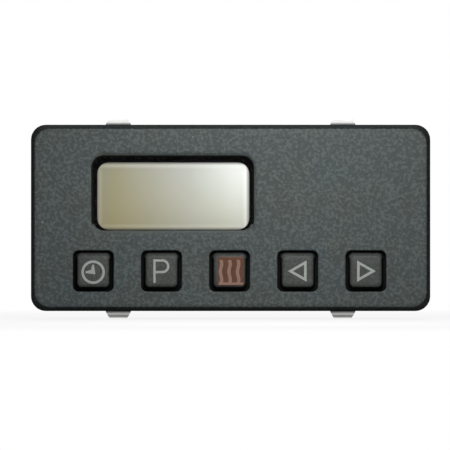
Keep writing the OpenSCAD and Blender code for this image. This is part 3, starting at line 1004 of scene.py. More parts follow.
@dataclass(frozen=True)
class Glass(Finish):
    """Thin pale glass or clear plastic inside the case."""

    tint: Colour
    index: float = 1.5
    roughness: Point = (0.04, 0.12)

    def dress(self, graph: Graph, shader: bpy.types.Node) -> None:
        """Feeds a faint haze and leaves the rest plain.

        Args:
            graph: The material's graph.
            shader: Its Principled shader.
        """
        noise = graph.noise(graph.scaled(graph.position(), 0.6), 3.0)
        haze = graph.fitted(noise, *NOISE_REACH, *self.roughness)
        inputs = {"Base Color": self.tint, "Roughness": haze, "IOR": self.index}
        graph.fill(shader, {**inputs, "Transmission Weight": 1.0})


Dressing = tuple[tuple[Finish, tuple[str, ...]], ...]
WELD_REACH = 0.002
KEPT_SHARP = 35.0


def dress_nodes(finish: Finish, *nodes: str, edge: float = 0.06) -> None:
    """Gives CAD nodes that stay their finish and soft edges.

    Args:
        finish: What they wear.
        nodes: Names of the CAD nodes.
        edge: Width of the bevel on their edges, in millimetres.
    """
    for node in nodes:
        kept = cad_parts[node]
        kept.data.materials[0] = finish.material()
        kept.modifiers.new("weld", "WELD").merge_threshold = WELD_REACH * MM
        bevelled(kept, edge, KEPT_SHARP)
        log.info("%s: kept, in %s", node, finish.name)


FACE_PLASTIC = Moulded(
    "face_plastic", (0.0647, 0.0765, 0.0740), (0.0660, 0.0762, 0.0715), (0.0638, 0.0772, 0.0766),
    patch=8.0, grain=0.74, depth=0.13, speckle=0.24, roughness=0.55, specular=0.12,
    dust=0.24, dust_tone=(0.15, 0.16, 0.155),
)
# Painted shade: a darker copy of the face's plastic on the plate's sloped sides and rear rim, standing for
# the shade that falls there.
PAINTED_SHADE_SIDES = Moulded(
    "painted_shade_sides", (0.027, 0.031, 0.030), (0.029, 0.031, 0.028), (0.026, 0.031, 0.032),
    patch=8.0, grain=0.74, depth=0.1, speckle=0.24, roughness=0.9, specular=0.0,
)
# Painted shade: a near-black copy of the plate's plastic on the key openings' walls and inside the front
# wall, standing for the shade in those recesses.
PAINTED_SHADE_RECESS = Moulded(
    "painted_shade_recess", (0.005, 0.005, 0.005), (0.006, 0.005, 0.005), (0.005, 0.005, 0.006),
    grain=0.3, roughness=0.9, specular=0.0,
)
# Painted shade: a near-black copy of the plate's plastic on the window's upper and side walls, standing for
# their shade; the lower wall keeps the face's colour.
PAINTED_SHADE_REVEAL = Moulded(
    "painted_shade_reveal", (0.012, 0.012, 0.011), (0.014, 0.012, 0.010), (0.011, 0.012, 0.012),
    grain=0.35, depth=0.012, roughness=0.8, specular=0.0,
)
KEY_PLASTIC = Moulded(
    "key_plastic", (0.044, 0.047, 0.044), (0.047, 0.048, 0.042), (0.042, 0.048, 0.046),
    patch=3.0, grain=0.7, depth=0.09, speckle=0.2, roughness=0.5, specular=0.25,
)
# Painted shade: a darker copy of the key plastic on the caps' lower and side walls, their flanges and
# stems.
PAINTED_SHADE_KEY_SIDES = Moulded(
    "painted_shade_key_sides", (0.016, 0.017, 0.016), (0.018, 0.017, 0.015), (0.015, 0.017, 0.017),
    grain=0.3, depth=0.008, roughness=0.7, specular=0.0,
)
# Painted light: a lighter copy of the key plastic on the caps' upper walls, standing for the light that
# falls on them from above.
PAINTED_LIGHT_KEY_BROWS = Moulded(
    "painted_light_key_brows", (0.068, 0.072, 0.068), (0.072, 0.072, 0.066), (0.065, 0.072, 0.070),
    grain=0.3, depth=0.008, roughness=0.7, specular=0.0,
)
HEAT_FIELD = Moulded(
    "heat_field", (0.092, 0.042, 0.025), (0.098, 0.043, 0.022), (0.088, 0.043, 0.031),
    patch=2.5, grain=0.35, depth=0.006, speckle=0.12, roughness=0.4, specular=0.12,
)
LEGEND = Print("legend", ink=(0.305, 0.325, 0.305), under=(0.16, 0.165, 0.155), cover=0.8)
HEAT_LEGEND = Print("heat_legend", ink=(0.215, 0.132, 0.104), under=(0.16, 0.085, 0.06), cover=0.8)
MASK_INK = Moulded(
    "mask_ink", (0.004, 0.004, 0.004), (0.005, 0.004, 0.004), (0.004, 0.004, 0.005),
    grain=0.2, depth=0.002, roughness=0.7, specular=0.0,
)
HOUSING_PLASTIC = Moulded(
    "housing_plastic", (0.018, 0.019, 0.019), (0.021, 0.020, 0.018), (0.016, 0.018, 0.020),
    grain=0.4, depth=0.012, roughness=0.5, specular=0.35, dust=0.2, dust_tone=(0.09, 0.09, 0.085),
)
CONNECTOR_PLASTIC = Moulded(
    "connector_plastic", (0.012, 0.012, 0.013), (0.014, 0.013, 0.012), (0.011, 0.012, 0.014),
    grain=0.25, depth=0.004, roughness=0.38, specular=0.45,
)
CARRIER_PLASTIC = Moulded(
    "carrier_plastic", (0.70, 0.70, 0.66), (0.72, 0.69, 0.62), (0.67, 0.70, 0.68),
    grain=0.3, depth=0.004, speckle=0.03, roughness=0.45,
)
REFLECTOR_FILM = Moulded(
    "reflector_film", (0.88, 0.88, 0.88), (0.90, 0.88, 0.85), (0.85, 0.87, 0.90),
    grain=0.5, depth=0.002, speckle=0.02, roughness=0.3,
)
DISPLAY_BACKING = Moulded(
    "display_backing", (0.45, 0.43, 0.33), (0.47, 0.43, 0.30), (0.43, 0.43, 0.35),
    grain=0.2, depth=0.002, speckle=0.04, roughness=0.4,
)
LED_PACKAGE = Moulded(
    "led_package", (0.80, 0.76, 0.55), (0.84, 0.76, 0.48), (0.78, 0.77, 0.62),
    patch=1.2, grain=0.15, depth=0.004, speckle=0.05, roughness=0.4,
)
RED_LAMP = Moulded(
    "red_lamp", (0.55, 0.05, 0.03), (0.60, 0.07, 0.03), (0.50, 0.04, 0.03),
    patch=0.6, grain=0.15, depth=0.003, speckle=0.06, roughness=0.25,
)
SILICONE = Moulded(
    "silicone", (0.17, 0.18, 0.17), (0.19, 0.18, 0.16), (0.16, 0.18, 0.18),
    grain=0.35, depth=0.006, speckle=0.05, roughness=0.65, specular=0.35,
)
CARBON_PILL = Moulded(
    "carbon_pill", (0.012, 0.012, 0.012), (0.014, 0.013, 0.012), (0.011, 0.012, 0.013),
    grain=0.15, depth=0.006, roughness=0.7, specular=0.2,
)
CHIP_PLASTIC = Moulded(
    "chip_plastic", (0.015, 0.015, 0.015), (0.018, 0.016, 0.015), (0.014, 0.015, 0.017),
    grain=0.12, depth=0.006, roughness=0.55, specular=0.4,
)
RESISTOR_CERAMIC = Moulded(
    "resistor_ceramic", (0.02, 0.024, 0.035), (0.03, 0.028, 0.03), (0.02, 0.025, 0.045),
    patch=1.0, grain=0.12, depth=0.003, roughness=0.35,
)
CAPACITOR_CERAMIC = Moulded(
    "capacitor_ceramic", (0.36, 0.22, 0.11), (0.40, 0.22, 0.09), (0.33, 0.22, 0.13),
    patch=1.0, grain=0.12, depth=0.003, roughness=0.35,
)
COVER = ClearCover("display_cover")
DISPLAY_GLASS = Glass("display_glass", (0.86, 0.92, 0.90))
LIGHT_GUIDE = Glass("light_guide", (0.93, 0.95, 0.92), 1.49)
SPRING_STEEL = Metal(
    "spring_steel",
    base=(0.96, 0.955, 0.945),
    dull=(0.84, 0.83, 0.81),
    stretch=(0.4, 7.0, 7.0),
    roughness=0.52,
    # Painted reflections and shadow: a dark root beside the plate, a dark line across the lower noses,
    # paler noses and dimmer legs, in bands by height.
    shades=(
        (-19.0, 0.75), (-18.78, 0.65), (-18.68, 0.26), (-18.42, 0.24), (-18.3, 0.53), (-18.02, 0.56),
        (-17.85, 0.24), (-17.7, 0.08), (-17.4, 0.07), (-16.8, 0.5), (5.0, 0.34), (16.8, 0.34),
        (17.4, 0.14), (17.75, 0.16), (18.0, 0.72), (18.3, 0.84), (19.0, 0.84),
    ),
)
SCREW_STEEL = Metal("screw_steel", (0.60, 0.60, 0.58), (0.40, 0.39, 0.36), (5.0, 5.0, 5.0), 0.3)
CAN_METAL = Metal("can_metal", (0.72, 0.72, 0.70), (0.50, 0.50, 0.48), (6.0, 0.5, 6.0), 0.25)
PIN_METAL = Metal("pin_metal", (0.74, 0.66, 0.44), (0.55, 0.47, 0.30), (6.0, 0.4, 6.0), 0.22)
ELASTOMER = Striped("elastomer", (0.02, 0.02, 0.022), (0.22, 0.22, 0.24))
BOARD_LAMINATE = Laminate("board_laminate")


# ---------------------------------------------------------------- face plate


LOWER_BOSSES = ((-19.125, -7.7), (19.125, -7.7))


class PlatePart(IntEnum):
    """Finishes on the face plate, by number: the face's own colour, and darker copies of it on the sides,
    the window's walls and the recesses, which are painted shade.
    """

    FACE = 0
    SIDE = 1
    REVEAL = 2
    RECESS = 3


def refinish(ring: Ring, part: int, low: float = -math.inf, high: float = math.inf) -> None:
    """Changes the finish of the faces at a ring that lie wholly between two heights.

    Args:
        ring: Ring that the faces touch.
        part: Number of their new finish.
        low: Height that they lie above.
        high: Height that they lie below.
    """
    for vert in ring:
        for face in vert.link_faces:
            if all(low < corner.co.z < high for corner in face.verts):
                face.material_index = part


def rounded_edge(radius: float, steps: int = 5) -> list[Point]:
    """How far in and how far forward each step of a rounded edge lies.

    Args:
        radius: Radius of the edge.
        steps: Chords in it.

    Returns:
        Pairs of distance in from the side and distance back from the front, from the side on.
    """
    angles = (math.pi / 2 * s / steps for s in range(steps + 1))
    return [(radius * (1 - math.cos(a)), radius * (1 - math.sin(a))) for a in angles]


@dataclass
class Opening:
    """A hole through the front wall with a rounded rim."""

    size: Point
    corner: float
    centre: Point
    rim: float
    slope: float = 0.0
    sill: float = 0.0
    # Finish of the walls behind the rim: painted shade.
    painted_shade_part: PlatePart = PlatePart.RECESS

    def outline(self, grow: float) -> list[Point]:
        """The opening's outline, larger all round by this much."""
        size = (self.size[0] + 2 * grow, self.size[1] + 2 * grow)
        return pane(size, self.corner + grow, self.centre)

    def layers(self, front: float, rear: float) -> list[Layer]:
        """Outlines from the face down to the rear of the wall.

        Args:
            front: Depth of the face.
            rear: Depth of the rear of the wall.

        Returns:
            Outlines with their depths.
        """
        lip = [(self.outline(r), front + d) for r, d in reversed(rounded_edge(self.rim))]
        return [*lip, (self.outline(-self.slope), rear)]


@dataclass
class FacePlate:
    """The front bezel: a plate with sloped sides, a window and five key openings, whose sides and openings
    wear painted shade.
    """

    corner: float = 2.8
    slope: float = 0.6
    straight: float = 2.0
    front_edge: float = 0.85
    rear_edge: float = 0.2
    wall: float = 2.0
    hollow: Point = (70.2, 31.2)
    hollow_corner: float = 1.6
    window_size: Point = (30.5, 14.4)
    window_corner: float = 2.3
    window_rise: float = 0.2
    window_slope: float = 0.35
    window_rim: float = 0.85
    window_sill: float = 1.3
    key_hole: Point = (7.6, 7.7)
    key_corner: float = 1.1
    key_rim: float = 0.25
    boss_radius: float = 1.9
    boss_bore: float = 0.8
    boss_end: float = 0.6
    boss_root: float = 0.1
    boss_sink: float = 0.4
    boss_places: tuple[Point, ...] = ((-31.4, 5.0), (31.4, 5.0), *LOWER_BOSSES)
    hook_height: float = 9.5
    hook_width: float = 4.4
    hook_profile: tuple[Point, ...] = (
        (32.2, -5.05), (33.3, -5.05), (33.3, 2.7), (34.5, 2.7), (33.3, 4.3), (32.2, 4.3),
    )

    def shell_layers(self) -> tuple[list[Layer], list[int]]:
        """Draws the outside from the rear rim to the face.

        Returns:
            Outlines with their depths, and a finish for each band between them.
        """
        box = NodeBox("front_bezel")
        steps = [(r, -d) for r, d in reversed(rounded_edge(self.rear_edge, 2))]
        steps.append((0.0, -self.straight))
        shoulder = self.slope * (1 - self.front_edge / (-box.front - self.straight))
        steps += [(shoulder + r, box.front + d) for r, d in rounded_edge(self.front_edge)]
        layers = [(box.outline(self.corner, inset), depth) for inset, depth in steps]
        # The sloped sides wear painted shade; the front edge's last bands keep the face's colour.
        parts = [PlatePart.SIDE] * (len(layers) - 1)
        parts[-2:] = [PlatePart.FACE] * 2
        return layers, parts

    def openings(self) -> list[Opening]:
        """Places the holes in the front wall.

        Returns:
            The window and the five key openings.
        """
        x, z = NodeBox("display_mask").centre
        window = Opening(
            self.window_size, self.window_corner, (x, z + self.window_rise), self.window_rim,
            slope=self.window_slope, sill=self.window_sill, painted_shade_part=PlatePart.REVEAL,
        )
        keys = [Opening(self.key_hole, self.key_corner, key.centre, self.key_rim) for key in KEYS]
        return [window, *keys]

    def build(self) -> None:
        """Builds the plate and lets it ride on the case."""
        blank = Blank()
        front = NodeBox("front_bezel").front
        inner = front + self.wall
        rim, face = blank.stack(*self.shell_layers())
        fronts, rears = [], []
        for opening in self.openings():
            layers = opening.layers(front, inner)
            first, last = blank.stack(layers, [PlatePart.FACE] * (len(layers) - 2) + [opening.painted_shade_part])
            # The window's lower wall keeps the face's colour where light falls on it; its other walls keep
            # the painted shade.
            if opening.sill:
                refinish(last, PlatePart.FACE, high=min(vert.co.z for vert in last) + opening.sill)
            fronts.append(first)
            rears.append(last)
        blank.plate(face, fronts, PlatePart.FACE)
        hollow = pane(self.hollow, self.hollow_corner)
        inside, mouth = blank.stack([(hollow, inner), (hollow, 0.0)], [PlatePart.RECESS])
        blank.plate(inside, rears, PlatePart.RECESS)
        blank.plate(rim, [mouth], PlatePart.SIDE)
        self.add_bosses(blank, inner)
        self.add_hooks(blank)
        made = blank.piece("face_plate", FACE_PLASTIC, PAINTED_SHADE_SIDES, PAINTED_SHADE_REVEAL, PAINTED_SHADE_RECESS)
        settle(made, CASE, ["front_bezel"])

    def add_bosses(self, blank: Blank, inner: float) -> None:
        """Adds the four screw bosses behind the front wall.

        Args:
            blank: The plate's mesh.
            inner: Depth of the wall's rear face.
        """
        bore, radius, end = self.boss_bore, self.boss_radius, self.boss_end
        sink, root = inner + self.boss_sink, inner - self.boss_root
        profile = [(bore, sink), (bore, end), (radius, end), (radius, root), (bore, root)]
        for place in self.boss_places:
            blank.turned(profile, place, tube=True)

    def add_hooks(self, blank: Blank) -> None:
        """Adds the four snap hooks that hold the housing.

        Args:
            blank: The plate's mesh.
        """
        for side, half in QUARTERS:
            ends = [half * self.hook_height + end * self.hook_width / 2 for end in ENDS]
            blank.between(*[[(side * x, y, z) for x, y in self.hook_profile] for z in ends])


# ------------------------------------------------------------------- display


@dataclass
class Display:
    """The window's cover, the black frame behind it and the display itself."""

    gap: float = 0.01
    cover_corner: float = 1.0
    cover_edge: float = 0.1
    film_corner: float = 0.3
    film_edge: float = 0.05
    view_size: Point = (28.5, 12.6)
    view_corner: float = 2.2
    view_shift: Point = (0.1, -0.2)
    behind: Dressing = (
        (DISPLAY_GLASS, ("front_glass", "rear_glass")),
        (DISPLAY_BACKING, ("rear_polariser",)),
        (CARRIER_PLASTIC, ("display_carrier",)),
        (LIGHT_GUIDE, ("backlight_guide",)),
        (REFLECTOR_FILM, ("backlight_reflector",)),
        (LED_PACKAGE, ("backlight_leds",)),
        (ELASTOMER, ("elastomer_connector",)),
    )

    def build(self) -> None:
        """Builds the parts that show and dresses those behind them."""
        self.build_cover()
        self.build_mask()
        self.build_film()
        for finish, nodes in self.behind:
            dress_nodes(finish, *nodes)

    @staticmethod
    def edged(box: NodeBox, corner: float, edge: float, gap: float = 0.0) -> Blank:
        """A pane with rounded edges that fills a node's box.

        Args:
            box: The node's box.
            corner: Corner radius.
            edge: Radius of its edges.
            gap: Space left behind it.

        Returns:
            The pane's mesh.
        """
        steps = rounded_edge(edge, 3)
        spots = [(r, box.front + d) for r, d in reversed(steps)]
        spots += [(r, box.rear - gap - d) for r, d in steps]
        blank = Blank()
        blank.solid([(box.outline(corner, r), y) for r, y in spots])
        return blank

    def build_cover(self) -> None:
        """Builds the clear cover."""
        blank = self.edged(NodeBox("display_lens"), self.cover_corner, self.cover_edge, self.gap)
        settle(blank.piece("display_cover", COVER), CASE, ["display_lens"])

    def build_mask(self) -> None:
        """Builds the black frame."""
        box = NodeBox("display_mask")
        place = (box.centre[0] + self.view_shift[0], box.centre[1] + self.view_shift[1])
        view = pane(self.view_size, self.view_corner, place)
        blank = Blank()
        blank.slab(box.outline(self.cover_corner), box.front, box.rear, [view])
        made = blank.piece("display_frame", MASK_INK)
        settle(made, CASE, ["display_mask"], edge=0.04)

    def build_film(self) -> None:
        """Builds the display's front film."""
        box = NodeBox("front_polariser")
        film = DisplayFilm(
            "display_film",
            centre=box.centre,
            size=self.view_size,
            # Stops across the display: its khaki tint, with painted reflection making the right side silver
            # and the top paler.
            upper=(
                (0.0, (0.335, 0.335, 0.255)), (0.12, (0.35, 0.34, 0.24)), (0.35, (0.415, 0.415, 0.36)),
                (0.6, (0.495, 0.505, 0.47)), (0.82, (0.635, 0.66, 0.635)), (1.0, (0.78, 0.79, 0.78)),
            ),
            lower=(
                (0.0, (0.335, 0.305, 0.215)), (0.12, (0.345, 0.315, 0.185)), (0.35, (0.37, 0.355, 0.255)),
                (0.6, (0.42, 0.415, 0.35)), (0.82, (0.47, 0.47, 0.395)), (1.0, (0.545, 0.555, 0.50)),
            ),
        )
        blank = self.edged(box, self.film_corner, self.film_edge)
        settle(blank.piece("display_film", film), CASE, ["front_polariser"])


# ---------------------------------------------------------------------- keys


@dataclass(frozen=True)
class Shape:
    """A flat outline with the outlines of its holes."""

    outer: list[Point]
    holes: list[list[Point]] = field(default_factory=list)

    def moved(self, by: Point) -> "Shape":
        """The same shape somewhere else."""
        outer, *holes = ([(x + by[0], z + by[1]) for x, z in line] for line in (self.outer, *self.holes))
        return Shape(outer, holes)


@dataclass(frozen=True)
class Symbol(ABC):
    """A flat symbol about the middle of a key, drawn in strokes of one width."""

    stroke: float = 0.47

    @abstractmethod
    def shapes(self) -> list[Shape]:
        """The symbol's shapes, which don't overlap."""


@dataclass(frozen=True)
class ClockFace(Symbol):
    """A ring with one hand up and one to the left, both wider at the hub."""

    radius: float = 2.2
    drop: float = 0.2
    reach: float = 1.4
    tip: float = 0.16
    hub: float = 0.42

    def shapes(self) -> list[Shape]:
        """Draws the clock.

        Returns:
            The ring and the pair of hands.
        """
        reach, tip, hub = self.reach, self.tip, self.hub
        ring = Shape(disc(self.radius, count=64), [disc(self.radius - self.stroke, count=64)])
        corners = [(tip, reach), (-tip, reach), (-hub, hub), (-reach, tip), (-reach, -tip), (hub, -hub)]
        return [shape.moved((0, -self.drop)) for shape in (ring, Shape(corners))]


@dataclass(frozen=True)
class LetterP(Symbol):
    """A plain letter P."""

    stroke: float = 0.43
    half_width: float = 1.5
    half_height: float = 2.2
    bowl_radius: float = 1.3

    def bowl(self, left: float, inset: float) -> list[Point]:
        """Draws a bar whose right end is a half circle.

        Args:
            left: Its left edge.
            inset: How much smaller it is than the letter's outside.

        Returns:
            The points in order, from the lower left corner.
        """
        radius = self.bowl_radius - inset
        right, top = self.half_width - inset, self.half_height - inset
        end = arc((right - radius, top - radius), radius, -90, 90, 16)
        return [(left, top - 2 * radius), *end, (left, top)]

    def shapes(self) -> list[Shape]:
        """Draws the letter.

        Returns:
            Its outline with its one hole.
        """
        stem = self.stroke - self.half_width
        foot = -self.half_height
        outer = self.bowl(-self.half_width, 0)[1:]
        outer += [(-self.half_width, foot), (stem, foot), (stem, self.half_height - 2 * self.bowl_radius)]
        return [Shape(outer, [self.bowl(stem, self.stroke)])]


@dataclass(frozen=True)
class HeatWaves(Symbol):
    """Three wavy strokes that stand on a bar."""

    stroke: float = 0.62
    pitch: float = 1.6
    top: float = 2.1
    base: float = -2.35
    swing: float = 0.13
    turns: float = 1.5
    bar_size: Point = (4.6, 0.44)
    bar_x: float = 0.25
    steps: int = 24

    def spine(self, x: float, side: float) -> list[Point]:
        """Draws one edge of a wavy stroke.

        Args:
            x: Middle of the stroke.
            side: Distance of the edge from the middle.

        Returns:
            The points in order, from the bar upwards.
        """
        rise = self.top - self.base
        start = self.bar_size[1] / 2 / rise
        shares = [start + (1 - start) * s / self.steps for s in range(self.steps + 1)]
        return [
            (x + side + self.swing * math.sin(math.tau * self.turns * share), self.base + rise * share)
            for share in shares
        ]

    def shapes(self) -> list[Shape]:
        """Draws the heat lines.

        Returns:
            The bar and the three waves.
        """
        half_x, half_z = self.bar_size[0] / 2, self.bar_size[1] / 2
        low = (self.bar_x - half_x, self.base - half_z)
        bar = Shape(box_outline(low, (self.bar_x + half_x, self.base + half_z)))
        half = self.stroke / 2
        places = [n * self.pitch for n in (-1, 0, 1)]
        waves = [Shape(self.spine(x, half) + self.spine(x, -half)[::-1]) for x in places]
        return [bar, *waves]


class Way(IntEnum):
    """Side that an arrow points to."""

    BACK = -1
    FORWARD = 1


@dataclass(frozen=True)
class Arrow(Symbol):
    """An outlined triangle that points to one side."""

    way: Way = Way.FORWARD
    half_width: float = 1.75
    half_height: float = 2.0
    lead: float = 0.1

    def shapes(self) -> list[Shape]:
        """Draws the arrow.

        Returns:
            The triangle with its one hole.
        """
        width, height, way = 2 * self.half_width, self.half_height, self.way
        tip_inset = self.stroke * math.hypot(width, height) / height
        inner_height = height * (width - tip_inset - self.stroke) / width
        base, tip = -way * self.half_width, way * self.half_width
        inner_base, inner_tip = base + way * self.stroke, tip - way * tip_inset
        outer = [(base, height), (tip, 0.0), (base, -height)]
        inner = [(inner_base, inner_height), (inner_tip, 0.0), (inner_base, -inner_height)]
        return [Shape(outer, [inner]).moved((way * self.lead, 0))]


class CapPart(IntEnum):
    """Finishes on a key cap, by number: its top, its walls in painted shade, and its upper wall in painted
    light.
    """

    TOP = 0
    SIDE = 1
    BROW = 2


@dataclass
class Key:
    """One key: its cap, the symbol on it and its contact pill."""

    name: str
    symbol: Symbol
    heated: bool = False
    proud: float = 0.03
    top_size: Point = (5.7, 5.8)
    top_corner: float = 0.8
    base_size: Point = (6.6, 7.1)
    base_corner: float = 1.0
    flange: float = 8.2
    flange_thickness: float = 0.8
    flange_depth: float = -4.9
    stem_radius: float = 1.7
    stem_root: float = 0.1
    edge: float = 0.5
    rise: float = 0.08
    lens_corner: float = 0.4
    lens_steps: tuple[Point, ...] = ((0.06, 0.012), (0.0, 0.05), (0.0, 0.2))

    @property
    def body(self) -> str:
        """The body that the key's pieces ride on."""
        return self.name + "_key"

    @property
    def cap_node(self) -> str:
        """The CAD node of the key's cap."""
        return self.body + "_cap"

    @property
    def centre(self) -> Point:
        """X and Z of the middle of the cap."""
        return NodeBox(self.cap_node).centre

    def cap_layers(self, centre: Point, top: float) -> tuple[list[Layer], list[int]]:
        """Draws the cap from its top to its flange.

        Args:
            centre: X and Z of its middle.
            top: Depth of its top.

        Returns:
            Outlines with their depths, and a finish for each band between them.
        """
        layers: list[Layer] = []
        for r, d in reversed(rounded_edge(self.edge)):
            share = d / (self.flange_depth - top)
            ends = zip(self.top_size, self.base_size)
            width, height = (first + share * (last - first) - 2 * r for first, last in ends)
            layers.append((pane((width, height), self.top_corner, centre), top + d))
        layers.append((pane(self.base_size, self.base_corner, centre), self.flange_depth))
        return layers, [CapPart.TOP] * (len(layers) - 2) + [CapPart.SIDE]

    def build(self) -> None:
        """Builds the cap and its symbol, and dresses the pill."""
        box = NodeBox(self.cap_node)
        x, z = box.centre
        blank = Blank()
        first, last = blank.stack(*self.cap_layers((x, z + self.rise), box.front + self.proud))
        # The upper wall wears painted light; the other walls, the flange and the stem wear painted shade.
        refinish(last, CapPart.BROW, low=z + self.top_size[1] / 2 - self.base_corner)
        blank.plate(first)
        blank.plate(last, part=CapPart.SIDE)
        flange_end = self.flange_depth + self.flange_thickness
        flange = pane((self.flange, self.flange), self.top_corner, box.centre)
        blank.slab(flange, self.flange_depth, flange_end, part=CapPart.SIDE)
        stem = disc(self.stem_radius, box.centre)
        blank.slab(stem, flange_end - self.stem_root, box.rear, part=CapPart.SIDE)
        cap = blank.piece(self.body + "_cap_moulding", KEY_PLASTIC, PAINTED_SHADE_KEY_SIDES, PAINTED_LIGHT_KEY_BROWS)
        settle(cap, self.body, [self.cap_node])
        if self.heated:
            self.build_field(box.front)
        self.build_symbol(box.front)
        dress_nodes(CARBON_PILL, self.body + "_pill")

    def build_field(self, top: float) -> None:
        """Builds the coloured field that the heat symbol lies on.

        Args:
            top: Depth of the cap's top.
        """
        node = self.body + "_lens"
        box = NodeBox(node)
        blank = Blank()
        blank.solid([(box.outline(self.lens_corner, r), top + d) for r, d in self.lens_steps])
        made = blank.piece(self.body + "_field", HEAT_FIELD)
        settle(made, self.body, [node])

    def build_symbol(self, top: float) -> None:
        """Builds the symbol as thin raised strokes.

        Args:
            top: Depth of the cap's top.
        """
        blank = Blank()
        for shape in self.symbol.shapes():
            placed = shape.moved(self.centre)
            blank.slab(placed.outer, top, top + 2 * self.proud, placed.holes)
        finish, slot = (HEAT_LEGEND, "heat_legend") if self.heated else (LEGEND, "legend_plastic")
        made = blank.piece(self.body + "_symbol", finish)
        settle(made, self.body, [self.body + "_legend"])


KEYS = (
    Key("clock", ClockFace()),
    Key("programme", LetterP()),
    Key("heat", HeatWaves(), heated=True),
    Key("back", Arrow(way=Way.BACK)),
    Key("forward", Arrow(way=Way.FORWARD)),
)


@dataclass
class KeyMat:
    """The silicone mat: a sheet on the board with a dome under each key."""

    sheet_thickness: float = 1.0
    corner: float = 0.8
    dome_height: float = 2.2
    dome_radius: float = 2.95
    wall: float = 0.3
    top_radius: float = 1.7
    shoulder: float = 1.75
    ceiling: float = 1.22
    ceiling_inset: float = 0.08
    root_drop: float = 0.25
    hole_gap: float = 0.02
    travel: float = 0.8
    boss_clearance: float = 2.1
    lamp_hole: float = 0.9

    def build(self) -> None:
        """Builds the sheet and the five domes."""
        box = NodeBox("keypad_mat")
        board = box.rear
        front = board - self.sheet_thickness
        sheet = Blank()
        sheet.slab(box.outline(self.corner), front, board)
        made = sheet.piece("key_mat_sheet", SILICONE)
        holes = [(key.centre, self.dome_radius) for key in KEYS]
        holes += [(place, self.boss_clearance) for place in LOWER_BOSSES]
        holes.append((NodeBox("heat_led").centre, self.lamp_hole))
        for centre, radius in holes:
            cutter = Blank()
            cutter.slab(disc(radius, centre), front - CUT_REACH, board + CUT_REACH)
            carve(made, cutter)
        settle(made, CASE, ["keypad_mat"], edge=0.08)
        for key in KEYS:
            self.build_dome(key, board)

    def build_dome(self, key: Key, board: float) -> None:
        """Builds one dome.

        Args:
            key: The key above it.
            board: Depth of the board that it stands on.
        """
        centre = key.centre
        inner = self.dome_radius - self.wall
        outer = self.dome_radius - self.hole_gap
        profile = [
            (self.top_radius - self.ceiling_inset, self.ceiling),
            (inner, self.sheet_thickness - self.root_drop),
            (inner, 0.0),
            (outer, 0.0),
            (outer, self.sheet_thickness),
            (self.top_radius, self.shoulder),
            (self.top_radius, self.dome_height),
        ]
        blank = Blank()
        blank.turned([(radius, board - height) for radius, height in profile], centre, 48)
        made = blank.piece(key.body + "_dome", SILICONE)
        settle(made, CASE, ["keypad_mat"])
        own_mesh(made)


# -------------------------------------------------------------- spring clips


@dataclass
class SpringClip:
    """A strip of spring sheet hooked round a bar, bent into a nose and a catch."""

    name: str
    thickness: float = 0.4
    pivot: Point = (15.0, 13.2)
    hook_radius: float = 1.06
    hook_wrap: float = 240.0
    nose: Point = (6.0, 18.96)
    nose_radius: float = 0.9
    catch: Point = (2.95, 15.2)
    catch_radius: float = 0.5
    end: Point = (3.9, 14.5)
    widths: tuple[Point, Point] = ((4.9, 4.8), (5.9, 3.4))
    step: float = 0.3

    @staticmethod
    def rounded(before: Point, corner: Point, after: Point, radius: float) -> list[Point]:
        """Points of the arc that rounds a bend.

        Args:
            before: A point on the way in.
            corner: The bend's corner.
            after: A point on the way out.
            radius: Radius of the bend.

        Returns:
            The arc's points in order.
        """
        ways = [Vector(p) - Vector(corner) for p in (before, after)]
        ways = [way.normalized() for way in ways]
        half = ways[0].angle(ways[1]) / 2
        centre = Vector(corner) + (ways[0] + ways[1]).normalized() * radius / math.sin(half)
        touch = [Vector(corner) + way * radius / math.tan(half) - centre for way in ways]
        angles = [math.degrees(math.atan2(t.y, t.x)) for t in touch]
        turn = (angles[1] - angles[0] + 180) % 360 - 180
        return arc(tuple(centre), radius, angles[0], angles[0] + turn, 10)

    def path(self) -> list[Point]:
        """Draws the middle of the sheet from the hook to its end.

        Returns:
            The points in order, as depth and height.
        """
        reach = math.dist(self.pivot, self.nose)
        leaf = math.degrees(math.atan2(self.nose[1] - self.pivot[1], self.nose[0] - self.pivot[0]))
        touch = leaf - math.degrees(math.acos(self.hook_radius / reach))
        hook = arc(self.pivot, self.hook_radius, touch - self.hook_wrap, touch, 32)
        bends = self.rounded(hook[-1], self.nose, self.catch, self.nose_radius)
        bends += self.rounded(self.nose, self.catch, self.end, self.catch_radius)
        points = [*hook, *bends, self.end]
        dense = [points[0]]
        for first, second in zip(points, points[1:]):
            count = max(1, round(math.dist(first, second) / self.step))
            way = (second[0] - first[0], second[1] - first[1])
            steps = range(1, count + 1)
            dense += [(first[0] + way[0] * s / count, first[1] + way[1] * s / count) for s in steps]
        return dense

    def half_width(self, depth: float) -> float:
        """Narrows the sheet towards its free end.

        Args:
            depth: Depth of a point on the sheet.

        Returns:
            Half of the sheet's width there.
        """
        (start, wide), (stop, narrow) = self.widths
        share = min(max((depth - start) / (stop - start), 0.0), 1.0)
        return (wide + (narrow - wide) * share) / 2

    def build(self) -> None:
        """Builds the clip where its CAD node lies."""
        x, z = NodeBox(self.name).centre
        half = math.copysign(1.0, z)
        path = self.path()
        blank = Blank()
        rings = []
        for i, (y, height) in enumerate(path):
            way = Vector(path[min(i + 1, len(path) - 1)]) - Vector(path[max(i - 1, 0)])
            out = Vector((-way.y, way.x)).normalized() * self.thickness / 2
            wide = self.half_width(y)
            corners = ((-1, -1), (1, -1), (1, 1), (-1, 1))
            line = [(x + a * wide, y + b * out.x, half * (height + b * out.y)) for a, b in corners]
            rings.append(blank.loop(line))
        for first, second in zip(rings, rings[1:]):
            blank.band(first, second)
        blank.plate(rings[0])
        blank.plate(rings[-1])
        made = blank.piece(self.name + "_strip", SPRING_STEEL)
        settle(made, self.name, [self.name], edge=0.07, sharp=40)


